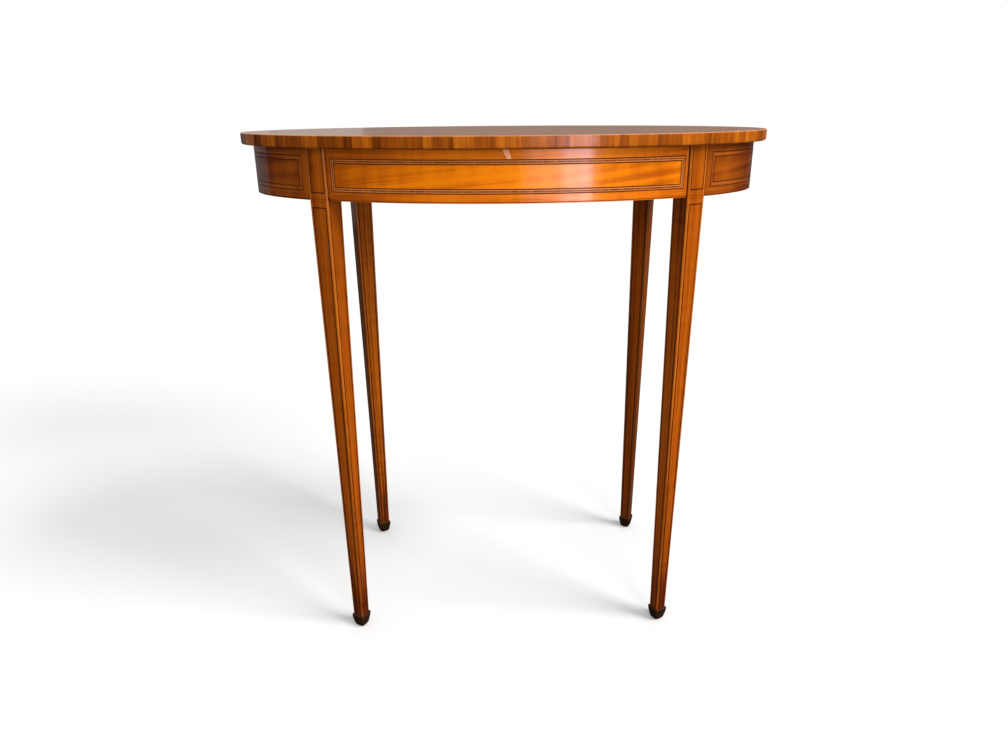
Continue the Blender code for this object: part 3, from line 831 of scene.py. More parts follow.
def mark_wood(mesh: bpy.types.Mesh, grain: list[Place], rim_low: list[Place], rim_high: list[Place]) -> None:
    """Give a mesh's face corners the wood's places.

    Args:
        mesh: The mesh.
        grain: Places along and across the fibres, and the layer of wood.
        rim_low: Distances from the left and lower edges.
        rim_high: Distances from the right and upper edges.
    """
    for label, values in (("grain", grain), ("rim_low", rim_low), ("rim_high", rim_high)):
        layer = mesh.attributes.new(label, "FLOAT_VECTOR", "CORNER")
        layer.data.foreach_set("vector", np.array(values, np.float32).ravel())


def put_in_scene(name: str, data: bpy.types.ID) -> bpy.types.Object:
    """Add an object to the scene.

    Args:
        name: Its name.
        data: The mesh, lamp or camera that it is.

    Returns:
        The object.
    """
    item = bpy.data.objects.new(name, data)
    bpy.context.scene.collection.objects.link(item)
    return item


def place_mesh(name: str, mesh: bpy.types.Mesh) -> bpy.types.Object:
    """Put a finished mesh in the scene, shaded smooth between its arrises.

    Args:
        name: The piece's name.
        mesh: The mesh.

    Returns:
        The object.
    """
    mesh.shade_smooth()
    mesh.set_sharp_from_angle(angle=SMOOTH_ANGLE)
    return put_in_scene(name, mesh)


def ease(piece: bpy.types.Object, width: float, steps: int = 1) -> bpy.types.Object:
    """Ease a piece's arrises.

    Args:
        piece: The piece.
        width: How much comes off an arris.
        steps: Faces across an eased arris.

    Returns:
        The piece.
    """
    bevel = piece.modifiers.new("eased", "BEVEL")
    bevel.width = width
    bevel.segments = steps
    bevel.limit_method = "ANGLE"
    bevel.angle_limit = ARRIS_ANGLE
    bevel.harden_normals = False
    return piece


def dress(piece: bpy.types.Object, body: Body, slot: Slot, *nodes: str) -> None:
    """Tie a piece to the frame.

    Args:
        piece: The finished piece.
        body: The body it rides on.
        slot: The record's slot; not used.
        nodes: The frame's nodes it stands for.
    """
    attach(piece, body.value)
    if nodes:
        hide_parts(*nodes)
    LOG.info("%s rides on %s", piece.name, body.value)


def solve(rule: Callable[[float], float], low: float, high: float) -> float:
    """Find where a rising rule crosses zero.

    Args:
        rule: The rule.
        low: A value at which it is below zero.
        high: A value at which it is above zero.

    Returns:
        The value at which it crosses.
    """
    for _ in range(SOLVE_STEPS):
        middle = (low + high) / 2
        if rule(middle) < 0:
            low = middle
        else:
            high = middle
    return (low + high) / 2


def around(count: int) -> Iterator[tuple[int, int]]:
    """Each place of a closed ring with the one after it."""
    return ((i, (i + 1) % count) for i in range(count))


# Oval forms


@dataclass(frozen=True)
class Oval:
    """An oval outline round the origin and its inward offsets."""

    half_length: float
    half_depth: float

    def normal(self, angle: float) -> Vector:
        """The outward direction at an angle."""
        slope = Vector((math.cos(angle) / self.half_length, math.sin(angle) / self.half_depth, 0.0))
        return slope.normalized()

    def point(self, angle: float, inset: float = 0.0, z: float = 0.0) -> Vector:
        """A point on the outline, moved inwards and up."""
        on_oval = Vector((self.half_length * math.cos(angle), self.half_depth * math.sin(angle), z))
        return on_oval - self.normal(angle) * float(inset)

    def angle(self, place: Vector) -> float:
        """The angle at which a point lies, from 0 to a whole turn."""
        return math.atan2(place.y / self.half_depth, place.x / self.half_length) % TURN

    def speed(self, angle: float) -> float:
        """Length of outline passed for each radian."""
        return math.hypot(self.half_length * math.sin(angle), self.half_depth * math.cos(angle))


@dataclass
class Run:
    """One stretch of an oval, unrolled: s runs along its face from its middle."""

    oval: Oval
    middle: float
    reach: float = 1.2
    samples: int = 600

    def __post_init__(self) -> None:
        """Add up the outline's length from the middle both ways."""
        angles = np.linspace(self.middle - self.reach, self.middle + self.reach, self.samples)
        speeds = np.array([self.oval.speed(angle) for angle in angles])
        steps = (speeds[1:] + speeds[:-1]) / 2 * np.diff(angles)
        lengths = np.concatenate(([0.0], np.cumsum(steps)))
        self.angles = angles
        self.lengths = lengths - np.interp(self.middle, angles, lengths)

    def angle(self, s: float) -> float:
        """The oval's angle at a place along the run."""
        return float(np.interp(s, self.lengths, self.angles))

    def length(self, angle: float) -> float:
        """The place along the run at an oval's angle."""
        return float(np.interp(angle, self.angles, self.lengths))

    def place(self, s: float, z: float, inset: float = 0.0) -> Vector:
        """A point of the run, moved inwards."""
        return self.oval.point(self.angle(s), inset, z)


# A corner of a slab's face by its column and row, and a face with whether it is in an end strip
Corner = tuple[int, int]
Cell = tuple[list[Corner], bool]


@dataclass
class Plate:
    """A curved slab on a run of the apron, whole or with a window in it.

    With a window its four strips are mitred at the corners.
    """

    run: Run
    outer: Patch
    face: float
    thickness: float
    window: Patch | None = None
    ends_upright: bool = False
    layer: float = 0.0
    step: float = 0.006

    def columns(self) -> list[float]:
        """Find where the slab bends.

        Returns:
            Places along the run.
        """
        inner = self.window or self.outer
        count = max(2, round((inner.s1 - inner.s0) / self.step))
        places = list(np.linspace(inner.s0, inner.s1, count + 1))
        return [self.outer.s0, *places, self.outer.s1] if self.window else places

    def rows(self) -> list[float]:
        """Levels of the slab."""
        middle = [self.window.z0, self.window.z1] if self.window else []
        return [self.outer.z0, *middle, self.outer.z1]

    def cells(self, columns: int, rows: int) -> list[Cell]:
        """Divide the slab's front into faces.

        Args:
            columns: How many there are.
            rows: How many there are.

        Returns:
            The faces, without those in the window.
        """
        found = []
        for i in range(columns):
            for j in range(rows):
                corners = [(i, j), (i + 1, j), (i + 1, j + 1), (i, j + 1)]
                at_end = i in (0, columns - 1)
                at_side = j in (0, rows - 1)
                if not self.window:
                    found.append((corners, False))
                elif at_end and at_side:
                    found += self.mitre(corners, i == 0, j == 0)
                elif at_end or at_side:
                    found.append((corners, at_end))
        return found

    @staticmethod
    def mitre(corners: list[Corner], first: bool, low: bool) -> list[Cell]:
        """Split a corner face from the slab's corner to the window's.

        Args:
            corners: The face's corners.
            first: Whether it is in the first column.
            low: Whether it is in the lowest row.

        Returns:
            The face below the mitre and the one above it.
        """
        a, b, c, d = corners
        if first == low:
            below, above = [a, b, c], [a, c, d]
        else:
            below, above = [a, b, d], [b, c, d]
        return [(below, not low), (above, low)]

    def draft(self) -> Draft:
        """Make the slab's faces: its front, its back and what joins them.

        Returns:
            The draft.
        """
        columns = self.columns()
        rows = self.rows()
        cells = self.cells(len(columns) - 1, len(rows) - 1)
        draft = Draft()
        front: dict[Corner, int] = {}
        back: dict[Corner, int] = {}
        for key in sorted({key for corners, _ in cells for key in corners}):
            s, z = columns[key[0]], rows[key[1]]
            front[key] = draft.add_point(self.run.place(s, z, self.face))
            back[key] = draft.add_point(self.run.place(s, z, self.face + self.thickness))
        sides: dict[tuple[Corner, Corner], bool] = {}
        for corners, in_end in cells:
            upright = self.ends_upright and in_end
            places = [(columns[i], rows[j]) for i, j in corners]
            draft.add_face([front[key] for key in corners], places, self.outer, upright, self.layer)
            behind = [back[key] for key in corners[::-1]]
            draft.add_face(behind, places[::-1], self.outer, upright, self.layer)
            for first, second in zip(corners, corners[1:] + corners[:1]):
                if sides.pop((second, first), None) is None:
                    sides[first, second] = upright
        for (first, second), upright in sides.items():
            quad = [front[second], front[first], back[first], back[second]]
            places = [(columns[i], rows[j]) for i, j in (second, first, first, second)]
            draft.add_face(quad, places, self.outer, upright, self.layer)
        return draft


# Geometry Nodes


class GeometryRule:
    """A Geometry Nodes tree with named inputs, turned into a plain mesh."""

    name: str = "rule"
    sockets: dict[str, str] = {}
    weld: float = JOINT / 10

    def __init__(self) -> None:
        """Build the tree: its inputs, its own shape, and the material on it."""
        self.group = bpy.data.node_groups.new(self.name, "GeometryNodeTree")
        face = self.group.interface
        face.new_socket("Geometry", in_out="INPUT", socket_type="NodeSocketGeometry")
        for label, kind in self.sockets.items():
            face.new_socket(label, in_out="INPUT", socket_type=kind)
        face.new_socket("Geometry", in_out="OUTPUT", socket_type="NodeSocketGeometry")
        self.tree = Tree(self.group)
        self.inputs = self.tree.add("NodeGroupInput")
        real = self.tree.add("GeometryNodeRealizeInstances", None, {0: self.shape()}).out()
        material = {0: real, "Material": self.inputs.out("Material")}
        dressed = self.tree.add("GeometryNodeSetMaterial", None, material).out()
        self.tree.add("NodeGroupOutput", None, {0: dressed})

    def shape(self) -> Socket:
        """Build the tree's own nodes and return their geometry."""
        raise NotImplementedError

    def run(self, sizes: dict[str, object], points: Sequence[Place] = ()) -> bpy.types.Mesh:
        """Evaluate the tree.

        Args:
            sizes: Values of the named inputs.
            points: The points that go in as its geometry.

        Returns:
            The result as a plain mesh.
        """
        given = bpy.data.meshes.new(self.name)
        given.from_pydata(points, [], [])
        holder = put_in_scene(self.name, given)
        modifier = holder.modifiers.new(self.name, "NODES")
        modifier.node_group = self.group
        for item in self.group.interface.items_tree:
            if item.in_out == "INPUT" and item.name in sizes:
                modifier[item.identifier] = sizes[item.name]
        depsgraph = bpy.context.evaluated_depsgraph_get()
        mesh = bpy.data.meshes.new_from_object(holder.evaluated_get(depsgraph))
        bpy.data.objects.remove(holder)
        shape = bmesh.new()
        shape.from_mesh(mesh)
        bmesh.ops.remove_doubles(shape, verts=shape.verts, dist=self.weld)
        bmesh.ops.recalc_face_normals(shape, faces=shape.faces)
        shape.to_mesh(mesh)
        shape.free()
        return mesh


class OvalSweep(GeometryRule):
    """A rectangular section with rounded outer corners, swept round an oval."""

    name = "oval_sweep"
    sockets = {
        "Half Length": "NodeSocketFloat",
        "Half Depth": "NodeSocketFloat",
        "Segments": "NodeSocketInt",
        "Width": "NodeSocketFloat",
        "Height": "NodeSocketFloat",
        "Middle Level": "NodeSocketFloat",
        "Lower Round": "NodeSocketFloat",
        "Upper Round": "NodeSocketFloat",
        "Round Steps": "NodeSocketInt",
        "Material": "NodeSocketMaterial",
    }

    def shape(self) -> Socket:
        """Sweep the section, whose +X points outwards and +Y down.

        Returns:
            The swept ring.
        """
        tree, given = self.tree, self.inputs.out
        unit = {"Resolution": given("Segments"), "Radius": 1.0}
        circle = tree.add("GeometryNodeCurvePrimitiveCircle", None, unit).out()
        place = tree.add("GeometryNodeInputPosition").out()
        scale = tree.vector(given("Half Length"), given("Half Depth"), 1.0)
        stretched = tree.add("ShaderNodeVectorMath", {"operation": "MULTIPLY"}, {0: place, 1: scale}).out()
        lifted = tree.vector(0.0, 0.0, given("Middle Level"))
        oval = {"Geometry": circle, "Position": stretched, "Offset": lifted}
        path = tree.add("GeometryNodeSetPosition", None, oval).out()

        sides = {"Width": given("Width"), "Height": given("Height")}
        section = tree.add("GeometryNodeCurvePrimitiveQuadrilateral", None, sides).out()
        x, y, _ = tree.split(place)
        below = y.above(0.0)
        rounding = x.above(0.0) * (below * given("Lower Round") + (1.0 - below) * given("Upper Round"))
        corners = {"Curve": section, "Radius": rounding, "Count": given("Round Steps")}
        fillet = tree.add("GeometryNodeFilletCurve", {"mode": "POLY"}, corners).out()
        shift = tree.vector(given("Width") * -0.5, 0.0, 0.0)
        moved = tree.add("GeometryNodeSetPosition", None, {"Geometry": fillet, "Offset": shift}).out()
        return tree.add("GeometryNodeCurveToMesh", None, {"Curve": path, "Profile Curve": moved}).out()


class SlottedScrews(GeometryRule):
    """A countersunk wood screw on each point of a mesh, its slotted head down."""

    name = "slotted_screws"
    seed: int = 3
    cutter_length: float = 3.0
    sockets = {
        "Head Radius": "NodeSocketFloat",
        "Head Height": "NodeSocketFloat",
        "Shank Radius": "NodeSocketFloat",
        "Length": "NodeSocketFloat",
        "Slot Width": "NodeSocketFloat",
        "Slot Depth": "NodeSocketFloat",
        "Sides": "NodeSocketInt",
        "Material": "NodeSocketMaterial",
    }

    def shape(self) -> Socket:
        """Cut a slot in the head, join the shank to it and turn each screw at random.

        Returns:
            The screws.
        """
        tree, given = self.tree, self.inputs.out
        cone = {
            "Vertices": given("Sides"),
            "Radius Top": given("Shank Radius"),
            "Radius Bottom": given("Head Radius"),
            "Depth": given("Head Height"),
        }
        head = tree.add("GeometryNodeMeshCone", None, cone).out("Mesh")
        length = given("Head Radius") * self.cutter_length
        size = tree.vector(length, given("Slot Width"), given("Slot Depth") * 2.0)
        slot = tree.add("GeometryNodeMeshCube", None, {"Size": size}).out("Mesh")
        cut = {"Mesh 1": head, "Mesh 2": slot}
        slotted = tree.add("GeometryNodeMeshBoolean", {"operation": "DIFFERENCE"}, cut).out("Mesh")
        tall = given("Length") - given("Head Height")
        round_bar = {"Vertices": given("Sides"), "Radius": given("Shank Radius"), "Depth": tall}
        shank = tree.add("GeometryNodeMeshCylinder", None, round_bar).out("Mesh")
        lift = tree.vector(0.0, 0.0, given("Head Height") + tall * 0.5)
        raised = tree.add("GeometryNodeTransform", None, {"Geometry": shank, "Translation": lift}).out()
        joint = tree.add("GeometryNodeJoinGeometry", None, {0: slotted})
        tree.fill(joint.node, {0: raised})
        half_turn = {2: 0.0, 3: math.pi, "Seed": self.seed}
        chance = tree.add("FunctionNodeRandomValue", {"data_type": "FLOAT"}, half_turn).out(1)
        turn = tree.add("FunctionNodeEulerToRotation", None, {0: tree.vector(0.0, 0.0, chance)}).out()
        spots = {"Points": given("Geometry"), "Instance": joint.out(), "Rotation": turn}
        return tree.add("GeometryNodeInstanceOnPoints", None, spots).out()


# Top


@dataclass
class Top:
    """The oval top: edge banding, crossbanding, inlaid ring and field over the frame's board."""

    edge_band: float = 0.0025
    lower_round: float = 0.0024
    upper_arris: float = 0.0011
    veneer: float = 0.0009
    segments: int = 256
    round_steps: int = 6
    crossband_rows: int = 6
    edge_layer: float = 1.0
    ring_layer: float = 2.0
    field_layer: float = 5.0
    field_reaches: tuple[float, ...] = (1.0, 0.995, 0.985, 0.96, 0.85, 0.65, 0.4, 0.18)

    def __post_init__(self) -> None:
        """Take the outline and the levels from the frame."""
        low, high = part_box("top_edge_banding")
        self.oval = Oval(high.x, high.y)
        self.underside = low.z
        self.level = high.z
        self.ring_outer = high.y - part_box("top_stringing")[1].y
        self.ring_inner = high.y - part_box("top_field_veneer")[1].y
        self.run = Run(self.oval, math.pi, math.pi)
        self.angles = np.linspace(0.0, TURN, self.segments, endpoint=False)

    def build(self) -> None:
        """Build and dress the top's pieces."""
        dress(self.edge_banding(), Body.TABLE, Slot.BORDER, "top_edge_banding")
        start, stop = self.edge_band + JOINT, self.ring_outer - JOINT
        crossband = self.ring("top_crossband", start, stop, CROSSBAND, self.crossband_rows)
        dress(crossband, Body.TABLE, Slot.BORDER, "top_crossbanding")
        lines = (("outer_dark", DARK_LINE), ("light", LIGHT_LINE), ("inner_dark", DARK_LINE))
        edges = np.linspace(self.ring_outer, self.ring_inner - JOINT, len(lines) + 1)
        for (name, finish), start, stop in zip(lines, edges[:-1], edges[1:]):
            line = self.ring(f"top_ring_{name}", start, stop - JOINT, finish, 1, along=True)
            dress(line, Body.TABLE, Slot.INLAY, "top_stringing")
        dress(self.field_veneer(), Body.TABLE, Slot.SATINWOOD, "top_field_veneer")

    def edge_banding(self) -> bpy.types.Object:
        """Sweep the edge banding's section round the oval.

        Returns:
            The piece.
        """
        sizes = {
            "Half Length": self.oval.half_length,
            "Half Depth": self.oval.half_depth,
            "Segments": self.segments,
            "Width": self.edge_band,
            "Height": self.level - self.underside,
            "Middle Level": (self.level + self.underside) / 2,
            "Lower Round": self.lower_round,
            "Upper Round": self.upper_arris,
            "Round Steps": self.round_steps,
            "Material": EDGE.material(),
        }
        mesh = OvalSweep().run(sizes)
        self.mark_edge(mesh)
        return place_mesh("top_edge", mesh)

    def mark_edge(self, mesh: bpy.types.Mesh) -> None:
        """Give the edge banding the wood's places, with fibres that run up it and a painted highlight along
        its top.

        Distances from its left end, by which its painted shade is measured, start at FAR, where no highlight
        shows.

        Args:
            mesh: The banding.
        """
        grain, rim_low, rim_high = [], [], []
        for polygon in mesh.polygons:
            places = [mesh.vertices[number].co for number in polygon.vertices]
            angles = [self.oval.angle(place) for place in places]
            if max(angles) - min(angles) > math.pi:
                angles = [angle + TURN if angle < math.pi else angle for angle in angles]
            for place, angle in zip(places, angles):
                grain.append((place.z, self.run.length(min(angle, TURN)), self.edge_layer))
                rim_low.append((FAR + place.x + self.oval.half_length, FAR, 0.0))
                rim_high.append((FAR, self.level - place.z, 0.0))
        mark_wood(mesh, grain, rim_low, rim_high)

    def ring(
        self, name: str, start: float, stop: float, finish: WoodFinish, steps: int, along: bool = False
    ) -> bpy.types.Object:
        """A flat ring of veneer.

        Args:
            name: The piece's name.
            start: Inset of its outer edge.
            stop: Inset of its inner edge.
            finish: Its wood.
            steps: Rows of faces across it.
            along: Whether the fibres run along the ring instead of across it.

        Returns:
            The piece.
        """
        draft = Draft()
        under = self.level - self.veneer
        section = [(inset, self.level) for inset in np.linspace(start, stop, steps + 1)]
        section += [(stop, under), (start, under)]
        rows = []
        for inset, z in section:
            rows.append([draft.add_point(self.oval.point(angle, inset, z)) for angle in self.angles])
        lengths = [self.run.length(angle) for angle in (*self.angles, TURN)]
        patch = Patch(-FAR, FAR, start, stop)
        for k, other in around(len(rows)):
            near, far = section[k][0], section[other][0]
            for i, j in around(self.segments):
                corners = [rows[k][i], rows[k][j], rows[other][j], rows[other][i]]
                here, there = lengths[i], lengths[i + 1]
                places = [(here, near), (there, near), (there, far), (here, far)]
                draft.add_face(corners, places, patch, not along, self.ring_layer)
        return draft.build(name, finish.material())

    def field_veneer(self) -> bpy.types.Object:
        """The oval field of the top, two matched leaves joined along the middle.

        Returns:
            The piece.
        """
        draft = Draft()
        reaches = self.field_reaches
        rim = [self.oval.point(angle, self.ring_inner, self.level) for angle in self.angles]
        rows = [[draft.add_point(Vector((p.x * reach, p.y * reach, p.z))) for p in rim] for reach in reaches]
        under = [draft.add_point(p - Vector((0.0, 0.0, self.veneer))) for p in rim]
        centre = draft.add_point(Vector((0.0, 0.0, self.level)))
        base = draft.add_point(Vector((0.0, 0.0, self.level - self.veneer)))
        depth = self.oval.half_depth - self.ring_inner

        def add(corners: list[int], insets: list[float]) -> None:
            """Add a face.

            Args:
                corners: Numbers of its points.
                insets: How far each lies from the field's edge.
            """
            draft.faces.append(tuple(corners))
            draft.slots.append(0)
            for corner, inset in zip(corners, insets):
                place = draft.points[corner]
                draft.grain.append((place.x, abs(place.y), self.field_layer))
                draft.rim_low.append((inset, inset, 0.0))
                draft.rim_high.append((inset, inset, 0.0))

        for i, j in around(self.segments):
            add([under[i], under[j], rows[0][j], rows[0][i]], [0.0] * 4)
            for k in range(len(rows) - 1):
                near, far = (depth * (1.0 - reach) for reach in reaches[k:k + 2])
                add([rows[k][i], rows[k][j], rows[k + 1][j], rows[k + 1][i]], [near, near, far, far])
            add([rows[-1][i], rows[-1][j], centre], [depth] * 3)
            add([under[j], under[i], base], [depth] * 3)
        return draft.build("top_field", FIELD.material())


# Apron


@dataclass(frozen=True)
class LineRule:
    """One line of an inlaid frame: its share of the frame's width and its wood."""

    name: str
    share: float
    finish: WoodFinish


DRAWER_LINES = (
    LineRule("dark_outer", 0.19, DARK_LINE),
    LineRule("light_outer", 0.18, LIGHT_LINE),
    LineRule("middle", 0.26, MIDDLE_LINE),
    LineRule("light_inner", 0.18, LIGHT_LINE),
    LineRule("dark_inner", 0.19, DARK_LINE),
)
END_LINES = (
    LineRule("dark_outer", 0.17, DARK_LINE),
    LineRule("band", 0.66, END_BAND),
    LineRule("dark_inner", 0.17, DARK_LINE),
)
BACK_LINES = (END_LINES[0], replace(END_LINES[1], finish=BACK_BAND), END_LINES[2])


@dataclass
class Cladding:
    """The veneers and inlaid lines on one side of the apron.

    The nodes' names hold a gap for border, stringing or panel.
    """

    name: str
    nodes: str
    oval: Oval
    middle: float
    body: Body
    lines: tuple[LineRule, ...]
    layer: float
    panel_wood: WoodFinish = END_PANEL
    border_wood: WoodFinish = END_BORDER
    frame_rise: float = 0.0
    veneer: float = 0.0009
    foot_line: float = 0.0007
    foot_bead: float = 0.0010
    eased: float = 0.00010

    def __post_init__(self) -> None:
        """Find the side's nodes, and how far it lies inside the oval."""
        self.border, self.stringing, self.panel = map(self.nodes.format, ("border", "stringing", "panel"))
        self.across_x = abs(math.sin(self.middle)) > abs(math.cos(self.middle))
        reach = max(abs(corner.y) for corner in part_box(self.border))
        self.face = self.oval.half_depth - reach if self.across_x else 0.0
        self.run = Run(self.oval, self.middle)

    def patch(self, node: str) -> Patch:
        """Find the stretch of the run that a node covers.

        Args:
            node: The node.

        Returns:
            The stretch.
        """
        low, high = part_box(node)
        half = high.x if self.across_x else high.y

        def short_of(turn: float) -> float:
            """How far a turn from the middle falls short of the node's end."""
            place = self.oval.point(self.middle + turn, self.face)
            return abs(place.x if self.across_x else place.y) - half

        reach = self.run.length(self.middle + solve(short_of, 0.0, self.run.reach))
        return Patch(-reach, reach, low.z, high.z)

    def build(self) -> None:
        """Build and dress the side's pieces."""
        whole = self.patch(self.border)
        strung = self.patch(self.stringing)
        strung = replace(strung, z1=strung.z1 + self.frame_rise)
        line_low = whole.z0 + self.foot_bead
        line_high = whole.z0 + (self.foot_bead + self.foot_line)
        border = replace(whole, z0=line_high)
        self.add("border", border, self.border_wood, Slot.BORDER, self.border, strung.inset(-JOINT))
        bead = replace(whole, z1=line_low - JOINT)
        self.add("foot_bead", bead, self.border_wood, Slot.BORDER, self.border)
        line = replace(whole, z0=line_low, z1=line_high - JOINT)
        self.add("foot_line", line, DARK_LINE, Slot.INLAY, self.border)
        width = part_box(self.panel)[0].z - strung.z0
        for rule in self.lines:
            inner = strung.inset(rule.share * width)
            self.add(rule.name, strung, rule.finish, Slot.INLAY, self.stringing, inner.inset(-JOINT))
            strung = inner
        self.add("panel", strung, self.panel_wood, Slot.SATINWOOD, self.panel)

    def add(
        self, part: str, outer: Patch, finish: WoodFinish, slot: Slot, node: str, window: Patch | None = None
    ) -> None:
        """Build and dress one slab.

        Args:
            part: What it is called on this side.
            outer: The stretch it covers.
            finish: Its wood.
            slot: The record's slot.
            node: The frame's node it stands for.
            window: The window cut in it, at whose ends the fibres run up.
        """
        plate = Plate(self.run, outer, self.face, self.veneer, window, window is not None, self.layer)
        piece = plate.draft().build(f"{self.name}_{part}", finish.material())
        dress(ease(piece, self.eased), self.body, slot, node)


@dataclass(frozen=True)
class Mark:
    """A small mark let into the drawer's border, as corners along it and up it: a pale patch, or a dark
    chipped corner with painted shade in its hollow.
    """

    name: str
    finish: WoodFinish
    slot: Slot
    corners: tuple[Spot, ...]
    proud: float = 0.00006
    depth: float = 0.0004

    def build(self, side: Cladding) -> None:
        """Build and dress the mark.

        Args:
            side: The side of the apron that it is on.
        """
        places = list(self.corners)
        along, levels = zip(*places)
        patch = Patch(min(along), max(along), min(levels), max(levels))
        draft = Draft()
        front = [draft.add_point(side.run.place(s, z, side.face - self.proud)) for s, z in places]
        back = [draft.add_point(side.run.place(s, z, side.face + self.depth)) for s, z in places]
        draft.add_face(front, places, patch, True, side.layer)
        draft.add_face(back[::-1], places[::-1], patch, True, side.layer)
        for k, j in around(len(places)):
            spots = [places[j], places[k], places[k], places[j]]
            draft.add_face([front[j], front[k], back[k], back[j]], spots, patch, True, side.layer)
        piece = draft.build(f"{side.name}_{self.name}", self.finish.material())
        dress(piece, side.body, self.slot)


DRAWER_MARKS = (
    Mark(
        "scuff", PALE_PATCH, Slot.BORDER,
        (
            (-0.0030, 0.6937), (0.0017, 0.6934), (0.0012, 0.6962), (0.0000, 0.6990),
            (-0.0012, 0.7041), (-0.0080, 0.7041), (-0.0060, 0.6988),
        ),
    ),
    # Chipped corners of the drawer's face: dark patches, partly the bare chip and partly painted shade in its
    # hollow.
    Mark(
        "chip_right", DARK_LINE, Slot.INLAY,
        ((0.2285, 0.7000), (0.2318, 0.6985), (0.2318, 0.7042), (0.2262, 0.7042)),
    ),
    Mark(
        "chip_left", DARK_LINE, Slot.INLAY,
        ((-0.2318, 0.6431), (-0.2240, 0.6431), (-0.2266, 0.6458), (-0.2318, 0.6490)),
    ),
)


@dataclass
class Apron:
    """The curved apron between the legs.

    Each side's wood comes from a layer of its own.
    """

    frame_rise: float = 0.0022
    end_layer: float = 11.0
    back_layer: float = 21.0
    drawer_layer: float = 31.0

    def __post_init__(self) -> None:
        """Take the outline from the frame."""
        self.oval = Oval(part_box("end_border_right")[1].x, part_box("back_border")[1].y)

    def build(self) -> None:
        """Build and dress the three fixed sides and the drawer's face."""
        for hand, middle in (("left", math.pi), ("right", 0.0)):
            Cladding(
                f"end_{hand}", f"end_{{}}_{hand}", self.oval, middle, Body.TABLE, END_LINES,
                self.end_layer + middle, frame_rise=self.frame_rise,
            ).build()
        Cladding(
            "back", "back_{}", self.oval, QUARTER, Body.TABLE, BACK_LINES,
            self.back_layer, BACK_PANEL, BACK_BORDER, self.frame_rise,
        ).build()
        drawer = Cladding(
            "drawer", "drawer_front_{}", self.oval, 3 * QUARTER, Body.DRAWER, DRAWER_LINES,
            self.drawer_layer, PANEL, BORDER,
        )
        drawer.build()
        for mark in DRAWER_MARKS:
            mark.build(drawer)


# Legs and feet


class Side(IntEnum):
    """The four sides of a leg, clockwise seen from above."""

    OUTER = 0
    NEXT = 1
    INNER = 2
    LAST = 3


class Strip(Enum):
    """What a strip of a leg's face is, from one arris to the next."""

    ARRIS = "arris"
    MARGIN = "margin"
    LINE = "line"
    FIELD = "field"


class Stretch(Enum):
    """What a stretch of a leg's outer face is, from one level to the next."""

    FRAME = "upright lines"
    BAR = "line across, between the upright lines"
    COLLAR = "line across the whole face"
    PLAIN = "no line"
    END = "end of the leg"


class LegSlot(IntEnum):
    """A leg's materials, by their number."""

    BODY = 0
    LINE = 1
    # Pale strips by the arrises, with a painted highlight of the arris.
    STRIP = 2
    # The side darkened as painted shade.
    SHADE = 3


